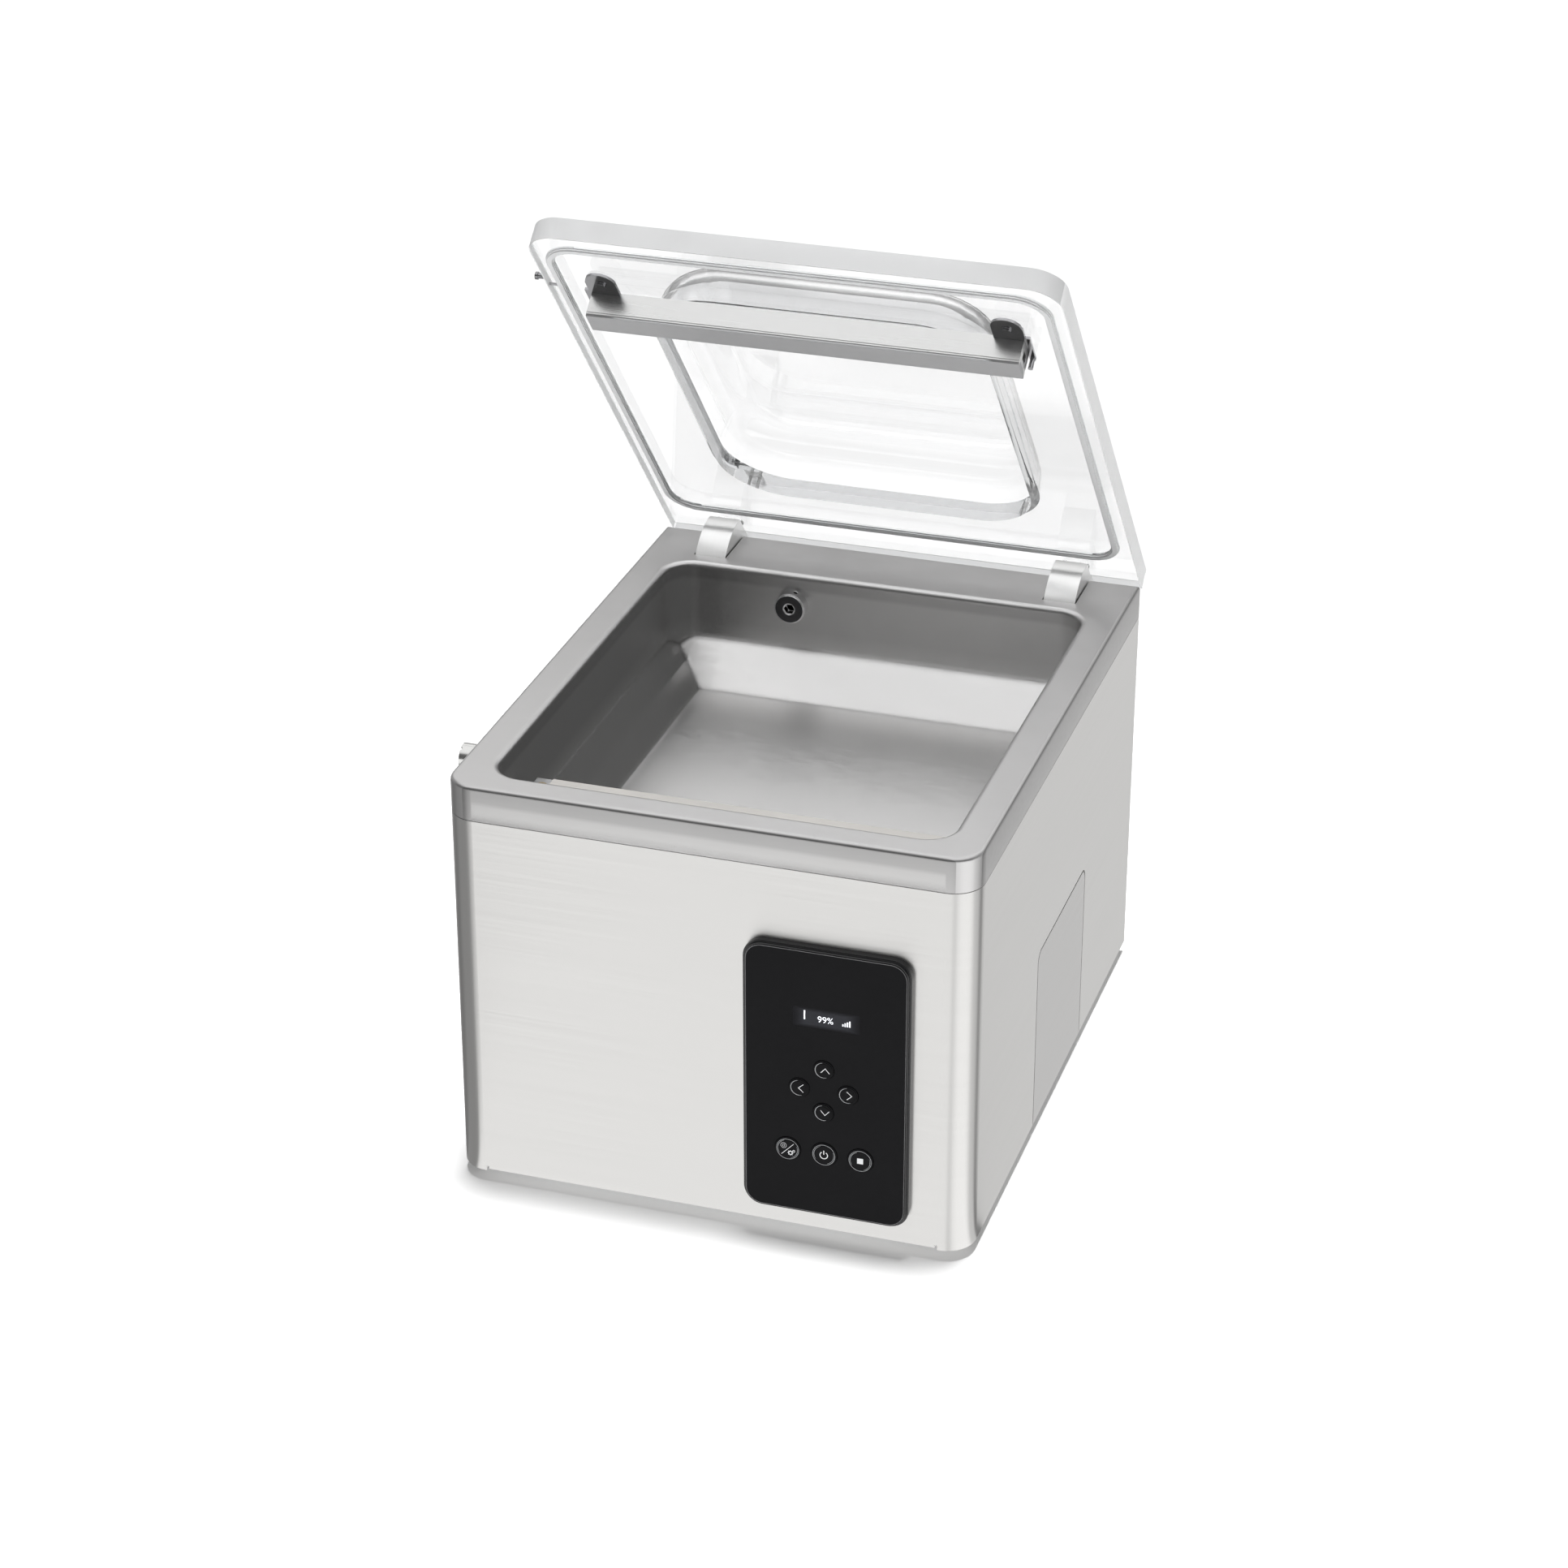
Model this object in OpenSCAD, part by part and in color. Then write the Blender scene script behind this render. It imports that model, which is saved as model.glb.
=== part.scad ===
// Tabletop chamber vacuum sealer, lid open, millimetres.
// X to the right, Y to the back, Z up, Z = 0 is the bench under the rubber feet.

/* [Body] */
// outside width of the housing
body_w = 350; // [300:1:420]
// outside depth of the housing
body_d = 430; // [360:1:520]
// bottom edge of the housing to the deck
body_h = 284; // [240:1:340]
// gap between bench and housing
foot_h = 8; // [5:0.5:15]
// height of the deck band above the seam
band_h = 24; // [15:1:35]
// radius of the upright front corners
corner_r = 20; // [10:1:30]

/* [Chamber] */
// inside half width of the chamber
tub_x = 150.5; // [120:0.5:160]
// inside half length of the chamber
tub_y = 176; // [140:0.5:185]
// middle of the chamber along Y
tub_cy = -17; // [-25:0.5:0]
// depth from the deck to the chamber floor
tub_depth = 85; // [60:1:120]
// corner radius of the chamber
tub_r = 20; // [16:1:27]

/* [Lid] */
// width of the lid slab
lid_w = 348; // [300:1:400]
// length of the lid slab
lid_l = 420; // [360:1:460]
// thickness of the lid slab
lid_t = 15; // [10:0.5:20]
// inside height of the dome above the slab underside
dome_h = 45; // [30:1:60]
// how far the lid stands open
open_deg = 48.5; // [30:0.5:70]

/* [Seal bar] */
// length of seal bar and counter bar
bar_l = 286; // [260:1:300]
// travel of the seal bar
bar_lift = 15; // [8:0.5:18]

/* [Control panel] */
// panel width
panel_w = 110; // [90:1:130]
// panel height
panel_h = 195; // [150:1:220]
// how far the panel stands proud of the housing
panel_out = 7; // [4:0.5:10]
// travel of a key
key_travel = 0.6; // [0.3:0.1:1]

/* [Hidden] */
$fn = 72;
hx = body_w / 2;
hy = body_d / 2;
bot = foot_h;
deck = foot_h + body_h;
band = deck - band_h;
sheet = 1.2;
seam = 0.4;
hem_z = bot + 1.4;
base_z = hem_z + sheet;
base_t = 1.5;
inside_z = base_z + base_t;
back_y = hy - sheet;
hinge_y = 205.5;
hinge_z = deck - 25.3;
lid_gap = 2.3;
lid_z = deck + lid_gap;
lid_back = hinge_y;
lid_front = lid_back - lid_l;
arm_x = 127.5;
arm_w = 22.4;
arm_r = 41;
bar_cy = -140.6;
bar_w = 19.4;
counter_bottom = lid_z - 18.3;
seal_top = counter_bottom - 0.4 - bar_lift;
floor_z = deck - tub_depth;
panel_cx = 81.2;
panel_cz = bot + 112.5;
face_y = -hy - panel_out;
stud_y = -148;
stud_z = lid_z + lid_t / 2;
latch_z = 277;
port_x = -61.7;
port_z = 269;
pump_y = 15;
pump_z = 76;
fan_x = -100;
fan_z = 92;
inlet_x = 112;
inlet_z = 44;

KEYS = [["key_up", 80.3, 132.6, 6.7], ["key_left", 64.2, 117, 6.7],
        ["key_right", 96.4, 117, 6.7], ["key_down", 80.3, 101.3, 6.7],
        ["key_mode", 56.8, 70.2, 8.5], ["key_power", 80.9, 70.2, 8.5],
        ["key_stop", 105, 70.2, 8.5]];

// rubber mounts of the pump
MOUNTS = [[-72, -37], [-72, 67], [142, 67], [84, -39]];

// ---- shared shapes ------------------------------------------------------

// plan of the body: rounded at the front, square at the back
module plan(i = 0, back = 0) {
  translate([-(hx - i), -(hy - corner_r)])
    square([2 * (hx - i), 2 * hy - corner_r - back]);
  translate([-(hx - corner_r), -(hy - i)]) square([2 * (hx - corner_r), corner_r]);
  for (s = [-1, 1]) translate([s * (hx - corner_r), -(hy - corner_r)]) circle(corner_r - i);
}

module plate2(w, h, r) {
  translate([-w / 2 + r, -h / 2]) square([w - 2 * r, h]);
  translate([-w / 2, -h / 2 + r]) square([w, h - 2 * r]);
  for (sx = [-1, 1], sy = [-1, 1])
    translate([sx * (w / 2 - r), sy * (h / 2 - r)]) circle(r);
}

// solid with a rounded-rectangle plan; the child is half of its section,
// measured outwards from the corner centres
module rounded_solid(hw, hd, r, z0, z1) {
  for (sx = [-1, 1], sy = [-1, 1])
    translate([sx * (hw - r), sy * (hd - r), 0]) rotate_extrude() children();
  for (s = [0, 1]) mirror([s, 0, 0]) translate([hw - r, 0, 0])
    rotate([90, 0, 0]) linear_extrude(height = 2 * (hd - r), center = true) children();
  for (s = [0, 1]) mirror([0, s, 0]) translate([0, hd - r, 0])
    rotate([90, 0, 90]) linear_extrude(height = 2 * (hw - r), center = true) children();
  translate([-(hw - r), -(hd - r), z0]) cube([2 * (hw - r), 2 * (hd - r), z1 - z0]);
}

module box(x0, x1, y0, y1, z0, z1) {
  translate([x0, y0, z0]) cube([x1 - x0, y1 - y0, z1 - z0]);
}

module rod_x(r, x0, x1, y, z) {
  translate([x0, y, z]) rotate([0, 90, 0]) cylinder(r = r, h = x1 - x0);
}

module rod_y(r, x, y0, y1, z) {
  translate([x, y1, z]) rotate([90, 0, 0]) cylinder(r = r, h = y1 - y0);
}

module rod_z(r, x, y, z0, z1) { translate([x, y, z0]) cylinder(r = r, h = z1 - z0); }

module tube_z(ro, ri, x, y, z0, z1) {
  difference() { rod_z(ro, x, y, z0, z1); rod_z(ri, x, y, z0 - 1, z1 + 1); }
}

// everything on the lid is drawn closed and swung up about the hinge
module swing_open() {
  translate([0, hinge_y, hinge_z]) rotate([-open_deg, 0, 0])
    translate([0, -hinge_y, -hinge_z]) children();
}

// plate standing on the front face: 2D outline in X and Z, from y0 to y1
module front_plate(y0, y1) {
  translate([0, y1, 0]) rotate([90, 0, 0]) linear_extrude(height = y1 - y0) children();
}

module at_feet() { for (x = [-138, 138], y = [-178, 178]) translate([x, y, 0]) children(); }

module at_rear_screws() {
  for (x = [-168, 168], z = [28, 100, 172, 244]) translate([x, 0, z]) children();
}

// ---- housing ------------------------------------------------------------

module cover_outline(grow = 0) {
  translate([13.5, bot + 65.5 + grow / 2]) plate2(127 + 2 * grow, 131 + grow, 8 + grow / 2);
  translate([-50 - grow, bot]) square([127 + 2 * grow, 40]);
}

module housing() {
  color([0.86, 0.86, 0.85]) difference() {
    union() {
      difference() {
        translate([0, 0, bot]) linear_extrude(height = band - seam - bot) plan(0, sheet);
        translate([0, 0, bot - 1]) linear_extrude(height = band) plan(sheet);
        box(-hx + sheet, hx - sheet, 0, hy, bot - 1, deck);
      }
      // folded bottom hem
      difference() {
        translate([0, 0, hem_z]) linear_extrude(height = sheet) plan(0.5, sheet);
        box(-hx + 15, hx - 15, -hy + 15, hy, 0, 40);
      }
      // upright flanges for the rear panel
      for (s = [-1, 1])
        box(s * (hx - 7) - 6.5, s * (hx - 7) + 6.5, back_y - sheet, back_y, hem_z, band - 10);
    }
    // the front edge stops short of the corner pieces
    box(-hx + 22, hx - 22, -hy - 1, -hy + 3, 0, hem_z);
    for (s = [-1, 1]) box(s * (hx - 21.5) - 0.9, s * (hx - 21.5) + 0.9, -hy - 1, -hy + 4, 0, hem_z + 2);
    // panel opening
    front_plate(-hy - 1, -hy + 3) translate([panel_cx, panel_cz]) plate2(100, 188, 8);
    // service opening
    translate([hx - 5, 0, 0]) rotate([90, 0, 90]) linear_extrude(height = 8) cover_outline(1.3);
    box(hx - 16, hx + 1, -50.8, 77.8, 0, base_z);
    at_rear_screws() rod_y(1.6, 0, back_y - 4, hy + 1, 0);
  }
}

module louvres(x0, x1, z0, n, pitch) {
  for (i = [0 : n - 1]) translate([(x0 + x1) / 2, 0, z0 + i * pitch])
    front_plate(back_y - 2, hy + 2) plate2(x1 - x0, 4, 1.9);
}

module rear_panel() {
  color([0.80, 0.80, 0.79]) difference() {
    box(-hx, hx, back_y, hy, bot, band - seam);
    for (s = [-1, 1]) box(s * arm_x - 12.6, s * arm_x + 12.6, back_y - 1, hy + 1, hinge_z - 9, deck);
    at_rear_screws() rod_y(1.6, 0, back_y - 1, hy + 1, 0);
    louvres(20, 60, 96, 9, 9);
    louvres(68, 108, 96, 9, 9);
    louvres(116, 156, 96, 9, 9);
    louvres(-156, -104, 168, 8, 9);
    rod_y(36, fan_x, back_y - 1, hy + 1, fan_z);
    for (x = [-35.75, 35.75], z = [-35.75, 35.75])
      rod_y(2.2, fan_x + x, back_y - 1, hy + 1, fan_z + z);
    box(inlet_x - 14, inlet_x + 14, back_y - 1, hy + 1, inlet_z - 12, inlet_z + 12);
    box(inlet_x - 51, inlet_x - 29, back_y - 1, hy + 1, inlet_z - 14, inlet_z + 14);
  }
}

module base_plate() {
  color([0.62, 0.63, 0.64]) difference() {
    translate([0, 0, base_z]) linear_extrude(height = base_t) plan(sheet + 0.3, sheet * 2 + 0.6);
    at_feet() rod_z(2, 0, 0, 0, 40);
    box(hx - 3, hx, -51, 78, 0, 40);
    for (y = [-30, 57]) rod_z(1.6, hx - 9, y, 0, 40);
    for (i = [0 : 7]) translate([-20 + i * 12, -120, 0]) linear_extrude(height = 40) plate2(5, 70, 2.4);
    for (i = [0 : 7]) translate([-20 + i * 12, 150, 0]) linear_extrude(height = 40) plate2(5, 60, 2.4);
    at_mounts() rod_z(2.5, 0, 0, 0, 40);
  }
}

module service_cover() {
  color([0.84, 0.85, 0.86]) difference() {
    union() {
      translate([hx - sheet, 0, 0]) rotate([90, 0, 90]) linear_extrude(height = sheet) cover_outline();
      intersection() {
        translate([hx - sheet - 1, 0, 0]) rotate([90, 0, 90]) linear_extrude(height = 1) cover_outline(8);
        box(0, hx, -90, 100, inside_z + 1, 200);
      }
      box(hx - 15, hx - sheet, -50, 77, hem_z, base_z);
      box(hx - sheet - 1, hx - sheet, -50, 77, hem_z, inside_z + 2);
    }
    for (y = [-30, 57]) rod_z(1.6, hx - 9, y, 0, 40);
  }
}

module rubber_feet() {
  color([0.10, 0.10, 0.10]) at_feet() difference() {
    union() {
      cylinder(r1 = 12, r2 = 13, h = 4);
      translate([0, 0, 4]) cylinder(r = 13, h = base_z - 4);
    }
    translate([0, 0, -1]) cylinder(r = 5.5, h = 6);
    cylinder(r = 2, h = 20);
  }
}

module feet_screws() {
  color([0.70, 0.70, 0.70]) at_feet() difference() {
    union() {
      translate([0, 0, 5]) cylinder(r = 2, h = 12);
      translate([0, 0, 2.4]) cylinder(r = 4, h = 2.6);
    }
    translate([0, 0, 2]) cylinder(r = 1.6, h = 1.8, $fn = 6);
  }
}

module rear_screws() {
  color([0.72, 0.72, 0.72]) at_rear_screws() difference() {
    union() {
      rod_y(1.6, 0, back_y - 5, hy, 0);
      rod_y(3, 0, hy, hy + 1.8, 0);
    }
    translate([0, hy + 2, 0]) rotate([90, 0, 0]) cylinder(r = 1.3, h = 1.3, $fn = 6);
  }
}

module cover_screws() {
  color([0.72, 0.72, 0.72]) for (y = [-30, 57]) translate([hx - 9, y, 0]) difference() {
    union() {
      translate([0, 0, hem_z]) cylinder(r = 1.6, h = 8);
      translate([0, 0, hem_z - 1.3]) cylinder(r = 3, h = 1.3);
    }
    translate([0, 0, hem_z - 2]) cylinder(r = 1.1, h = 1.5, $fn = 6);
  }
}

// ---- deck with chamber --------------------------------------------------

module edge_cut(r) { difference() { square([r + 1, r + 1]); circle(r); } }

module deck_edges(r) {
  for (s = [0, 1]) mirror([s, 0, 0]) translate([hx - r, 0, deck - r])
    rotate([90, 0, 0]) linear_extrude(height = 2 * (hy - corner_r), center = true) edge_cut(r);
  for (s = [0, 1]) mirror([s, 0, 0]) translate([hx - r, hy - corner_r - 1, deck - r])
    rotate([90, 0, 0]) mirror([0, 0, 1]) linear_extrude(height = corner_r + 3) edge_cut(r);
  translate([0, hy - r, deck - r]) rotate([90, 0, 90])
    linear_extrude(height = 2 * hx + 4, center = true) edge_cut(r);
  mirror([0, 1, 0]) translate([0, hy - r, deck - r]) rotate([90, 0, 90])
    linear_extrude(height = 2 * (hx - corner_r), center = true) edge_cut(r);
  for (s = [0, 1]) mirror([s, 0, 0]) translate([hx - corner_r, -(hy - corner_r), deck - r])
    rotate([0, 0, -90]) rotate_extrude(angle = 90) translate([corner_r - r, 0]) edge_cut(r);
}

// walls of the chamber along one direction, t is the wall thickness
module tub_walls(half, t, top) {
  polygon([[-half - t, top], [-half - t, floor_z + 28 - 0.42 * t],
           [-half + 28 - 0.42 * t, floor_z - t], [half - 28 + 0.42 * t, floor_z - t],
           [half + t, floor_z + 28 - 0.42 * t], [half + t, top]]);
}

module tub_shape(t, top) {
  translate([0, tub_cy, 0]) intersection() {
    translate([0, 0, floor_z - t]) linear_extrude(height = top - floor_z + t)
      plate2(2 * (tub_x + t), 2 * (tub_y + t), tub_r + t);
    rotate([90, 0, 0]) linear_extrude(height = 2 * tub_y + 10, center = true)
      tub_walls(tub_x, t, top + 5);
    rotate([90, 0, 90]) linear_extrude(height = 2 * tub_x + 10, center = true)
      tub_walls(tub_y, t, top + 5);
  }
}

module tub_lip() {
  difference() {
    translate([tub_r - 1, deck - 4]) square([5, 6]);
    translate([tub_r + 4, deck - 4]) circle(4);
  }
}

module deck_tank() {
  color([0.72, 0.73, 0.74]) difference() {
    union() {
      difference() {
        translate([0, 0, band]) linear_extrude(height = band_h) plan(0);
        deck_edges(3);
        translate([0, 0, band - 1]) linear_extrude(height = band_h - 0.5) plan(1.5, 1.5);
      }
      // tongue that drops inside the housing
      difference() {
        translate([0, 0, band - 7]) linear_extrude(height = 9) plan(sheet, sheet);
        translate([0, 0, band - 8]) linear_extrude(height = 12) plan(sheet + 1.5, sheet + 1.5);
      }
      tub_shape(1.5, deck - 1);
    }
    tub_shape(0, deck + 3);
    translate([0, tub_cy, 0])
      rounded_solid(tub_x, tub_y, tub_r, deck - 4, deck + 2) tub_lip();
    for (s = [-1, 1]) box(s * arm_x - 11.9, s * arm_x + 11.9, 171.6, hy + 2, band - 20, deck + 2);
    for (s = [-1, 1]) rod_z(8, s * 100, bar_cy, floor_z - 5, floor_z + 5);
    rod_y(6.5, port_x, 150, 170, port_z);
    rod_x(6, -hx - 2, -hx + 6, stud_y, latch_z);
  }
}

// ---- control panel ------------------------------------------------------

module at_panel() { translate([panel_cx, 0, panel_cz]) children(); }

module window_hole(y0, y1) {
  translate([81.8, 0, 168.9]) front_plate(y0, y1) plate2(44, 14, 1);
}

module key_holes(gap, y0, y1) { for (k = KEYS) rod_y(k[3] + gap, k[1], y0, y1, k[2]); }

module panel_bezel() {
  color([0.07, 0.07, 0.07]) difference() {
    union() {
      at_panel() front_plate(-hy - panel_out + 2.6, -hy) plate2(panel_w, panel_h, 13);
      at_panel() front_plate(face_y + 0.6, -hy - panel_out + 2.6)
        plate2(panel_w - 2.4, panel_h - 2.4, 12);
      at_panel() front_plate(-hy, -hy + 19) plate2(99.4, 187.4, 7.7);
    }
    at_panel() front_plate(-hy - 3, -hy + 20) plate2(94, 182, 6);
    window_hole(face_y - 1, -hy);
    key_holes(0.3, face_y - 1, -hy);
  }
}

module panel_overlay() {
  color([0.03, 0.03, 0.03]) difference() {
    at_panel() front_plate(face_y, face_y + 0.6) plate2(panel_w - 4.4, panel_h - 4.4, 11);
    window_hole(face_y - 1, -hy);
    key_holes(0.3, face_y - 1, -hy);
  }
}

module display_window() { color([0.12, 0.12, 0.14]) window_hole(face_y, -hy - 3); }

module control_board() {
  color([0.05, 0.30, 0.15]) {
    at_panel() front_plate(-hy + 9, -hy + 10.6) plate2(94, 182, 6);
    for (k = KEYS) rod_y(1.75, k[1], -hy + 3, -hy + 9, k[2]);
    for (k = KEYS) box(k[1] - 3, k[1] + 3, -hy + 5.5, -hy + 9, k[2] - 3, k[2] + 3);
    for (x = [45, 70, 95]) box(x, x + 15, -hy + 10.6, -hy + 15, 60, 75);
    box(60, 100, -hy + 10.6, -hy + 17, 110, 118);
    translate([81.8, 0, 168.9]) front_plate(-hy - 3, -hy + 9) plate2(50, 20, 0.5);
  }
}

module key(n) {
  k = KEYS[n];
  color([0.06, 0.06, 0.06]) difference() {
    union() {
      rod_y(k[3], k[1], face_y - 0.5, -hy - 2.5, k[2]);
      rod_y(k[3] - 0.8, k[1], face_y - 0.9, -hy - 2.5, k[2]);
      rod_y(k[3] + 1.2, k[1], -hy - 2.7, -hy - 1.7, k[2]);
      rod_y(2, k[1], -hy - 2, -hy + 2, k[2]);
    }
    difference() {
      rod_y(k[3] - 1.5, k[1], face_y - 2, face_y - 0.7, k[2]);
      rod_y(k[3] - 2.1, k[1], face_y - 2, face_y, k[2]);
    }
  }
}

module key_up() { key(0); }
module key_left() { key(1); }
module key_right() { key(2); }
module key_down() { key(3); }
module key_mode() { key(4); }
module key_power() { key(5); }
module key_stop() { key(6); }

// ---- lid and hinge ------------------------------------------------------

module lid_outline() {
  r = 22;
  translate([-lid_w / 2, lid_front + r]) square([lid_w, lid_l - r]);
  translate([-lid_w / 2 + r, lid_front]) square([lid_w - 2 * r, r]);
  for (s = [-1, 1]) translate([s * (lid_w / 2 - r), lid_front + r]) circle(r);
}

// half section of the dome from its corner centre, t is the wall thickness
module dome_section(t, low) {
  square_top = lid_z + dome_h - 18.01;
  polygon([[0, lid_z + low], [45 + t, lid_z + low], [45 + t, lid_z + lid_t],
           [43 + t, lid_z + dome_h - 18], [0, lid_z + dome_h - 18]]);
  translate([0, square_top]) square([25, 18.01 + t]);
  intersection() {
    translate([25, lid_z + dome_h - 18]) circle(18 + t);
    translate([0, square_top]) square([80, 80]);
  }
}

module at_dome() { translate([0, -6, 0]) children(); }

module gasket_ring(grow, z0, z1) {
  translate([0, -19.75, 0]) difference() {
    translate([0, 0, z0]) linear_extrude(height = z1 - z0)
      plate2(332 + 2 * grow, 369.5 + 2 * grow, 24 + grow);
    translate([0, 0, z0 - 1]) linear_extrude(height = z1 - z0 + 2)
      plate2(320 - 2 * grow, 357.5 - 2 * grow, 18 - grow);
  }
}

module at_arm_screws() {
  for (x = [-arm_x, arm_x], d = [-6, 6]) translate([x + d, 189, 0]) children();
}

module lid() {
  color([0.90, 0.93, 0.95, 0.35]) swing_open() difference() {
    union() {
      translate([0, 0, lid_z]) linear_extrude(height = lid_t) lid_outline();
      at_dome() rounded_solid(117, 136.5, 50, lid_z + 1, lid_z + dome_h + 5)
        dome_section(5, 1);
    }
    at_dome() rounded_solid(112, 131.5, 45, lid_z - 1, lid_z + dome_h) dome_section(0, -1);
    gasket_ring(0, lid_z - 1, lid_z + 3);
    at_arm_screws() {
      rod_z(2, 0, 0, lid_z - 1, lid_z + lid_t + 1);
      rod_z(4, 0, 0, lid_z + lid_t - 3.5, lid_z + lid_t + 1);
    }
    for (s = [-1, 1]) rod_z(2, s * 133.5, -162, lid_z - 1, lid_z + 8);
    rod_x(1.8, -lid_w / 2 - 1, -lid_w / 2 + 12, stud_y, stud_z);
  }
}

module lid_gasket() {
  color([0.80, 0.81, 0.82]) swing_open() {
    gasket_ring(0, lid_z, lid_z + 3);
    gasket_ring(-0.6, lid_z - 1.2, lid_z);
    gasket_ring(-1.3, lid_z - 2, lid_z - 1.2);
  }
}

module arm_section() {
  top = lid_z - hinge_z;
  intersection() {
    circle(arm_r);
    polygon([[-0.5, 0], [-0.5, top], [-60, top], [-60, -21.8], [0, 0]]);
  }
  circle(7.5);
}

module hinge_arms() {
  color([0.78, 0.79, 0.80]) swing_open() difference() {
    for (x = [-arm_x, arm_x]) translate([x, hinge_y, hinge_z]) rotate([90, 0, 90])
      linear_extrude(height = arm_w, center = true) arm_section();
    rod_x(4, -200, 200, hinge_y, hinge_z);
    at_arm_screws() rod_z(2, 0, 0, lid_z - 16, lid_z + 1);
  }
}

module hinge_shaft() {
  color([0.70, 0.71, 0.72]) {
    difference() {
      rod_x(4, -152, 152, hinge_y, hinge_z);
      for (s = [-1, 1]) rod_z(1, s * 66, hinge_y, hinge_z - 9, hinge_z + 9);
    }
    // retaining rings at the ends
    for (x = [-149, 148]) difference() {
      rod_x(6, x, x + 1, hinge_y, hinge_z);
      rod_x(3.9, x - 1, x + 2, hinge_y, hinge_z);
    }
  }
}

module hinge_screws() {
  color([0.68, 0.68, 0.68]) swing_open() at_arm_screws() difference() {
    union() {
      rod_z(2, 0, 0, lid_z - 16, lid_z + lid_t - 3.5);
      rod_z(4, 0, 0, lid_z + lid_t - 3.5, lid_z + lid_t - 0.2);
    }
    translate([0, 0, lid_z + lid_t - 2.4]) cylinder(r = 1.9, h = 4, $fn = 6);
  }
}

module hinge_brackets() {
  color([0.60, 0.61, 0.62]) for (s = [-1, 1]) difference() {
    union() {
      for (d = [-13.4, 13.4]) box(s * arm_x + d - 1.5, s * arm_x + d + 1.5, 191, 211.8, 250, deck - 1.5);
      box(s * arm_x - 14.9, s * arm_x + 14.9, 195, 211.8, 250, 254.5);
      for (d = [-18.9, 18.9]) box(s * arm_x + d - 4.2, s * arm_x + d + 4.2, 191, 211.8, deck - 3.5, deck - 1.5);
    }
    rod_x(6, s * arm_x - 40, s * arm_x + 40, hinge_y, hinge_z);
  }
}

module pivot_bushes() {
  color([0.72, 0.53, 0.28]) for (x = [-arm_x - 13.4, -arm_x + 13.4, arm_x - 13.4, arm_x + 13.4])
    difference() {
      rod_x(6, x - 1.5, x + 1.5, hinge_y, hinge_z);
      rod_x(4.05, x - 3, x + 3, hinge_y, hinge_z);
    }
  color([0.72, 0.53, 0.28]) difference() {
    union() {
      rod_x(6, -hx, -hx + 1.5, stud_y, latch_z);
      rod_x(8.5, -hx - 1, -hx, stud_y, latch_z);
    }
    rod_x(3.05, -hx - 5, -hx + 5, stud_y, latch_z);
  }
}

module lid_springs() {
  color([0.45, 0.46, 0.48]) for (s = [-1, 1]) {
    // the closed coil
    difference() {
      rod_x(6.4, s * 87.55 - 13, s * 87.55 + 13, hinge_y, hinge_z);
      rod_x(4.6, s * 87.55 - 14, s * 87.55 + 14, hinge_y, hinge_z);
    }
    rod_z(1.2, s * 99.1, hinge_y - 5.6, hinge_z, deck - 1.5);
    rod_y(1.2, s * 76, hinge_y - 20, hinge_y, hinge_z - 5.6);
  }
}

module lid_switch() {
  color([0.15, 0.15, 0.16]) difference() {
    union() {
      box(88, 102, 166, 186, 270, deck - 1.5);
      rod_x(1.5, 102, 104.5, 172, 282);
      for (y = [169, 176, 183]) box(93, 97, y - 0.5, y + 0.5, 264, 270);
    }
    for (y = [170, 182]) rod_x(1.4, 80, 110, y, 275);
  }
}

module counter_bar() {
  color([0.80, 0.80, 0.80]) swing_open() difference() {
    box(-bar_l / 2, bar_l / 2, bar_cy - bar_w / 2, bar_cy + bar_w / 2, counter_bottom + 1.6, lid_z);
    box(-bar_l, bar_l, bar_cy - 7, bar_cy + 7, counter_bottom, counter_bottom + 3.6);
    box(-bar_l, bar_l, bar_cy - 4, bar_cy + 4, counter_bottom + 7, counter_bottom + 13);
    for (s = [-1, 1]) box(-bar_l, bar_l, bar_cy + s * bar_w / 2 - 0.4, bar_cy + s * bar_w / 2 + 0.4,
      counter_bottom + 2.4, counter_bottom + 3);
  }
}

module counter_silicone() {
  color([0.42, 0.42, 0.42]) swing_open() {
    box(-bar_l / 2, bar_l / 2, bar_cy - 7, bar_cy + 7, counter_bottom + 1.6, counter_bottom + 3.6);
    box(-bar_l / 2, bar_l / 2, bar_cy - bar_w / 2 + 0.4, bar_cy + bar_w / 2 - 0.4,
      counter_bottom, counter_bottom + 1.6);
  }
}

module bar_clips() {
  color([0.25, 0.25, 0.26]) swing_open() for (s = [0, 1]) mirror([s, 0, 0]) {
    translate([0, 0, lid_z - 1.8]) linear_extrude(height = 1.8) {
      translate([123.5, -164.5]) square([20.6, 14]);
      translate([133.5, -164.5]) circle(10);
      translate([143.1, -153.5]) square([4, 27]);
      translate([145.1, -126.5]) circle(2);
    }
    rod_z(1.6, 145.1, -127.6, lid_z - 9, lid_z - 1);
    rod_z(2, 133.5, -162, lid_z, lid_z + 7);
    rod_z(3.4, 133.5, -162, lid_z - 3.2, lid_z - 1.8);
  }
}

module lid_stud() {
  color([0.72, 0.72, 0.72]) swing_open() {
    rod_x(1.8, -184, -lid_w / 2 + 12, stud_y, stud_z);
    rod_x(2.6, -184.4, -182.6, stud_y, stud_z);
  }
}

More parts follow.
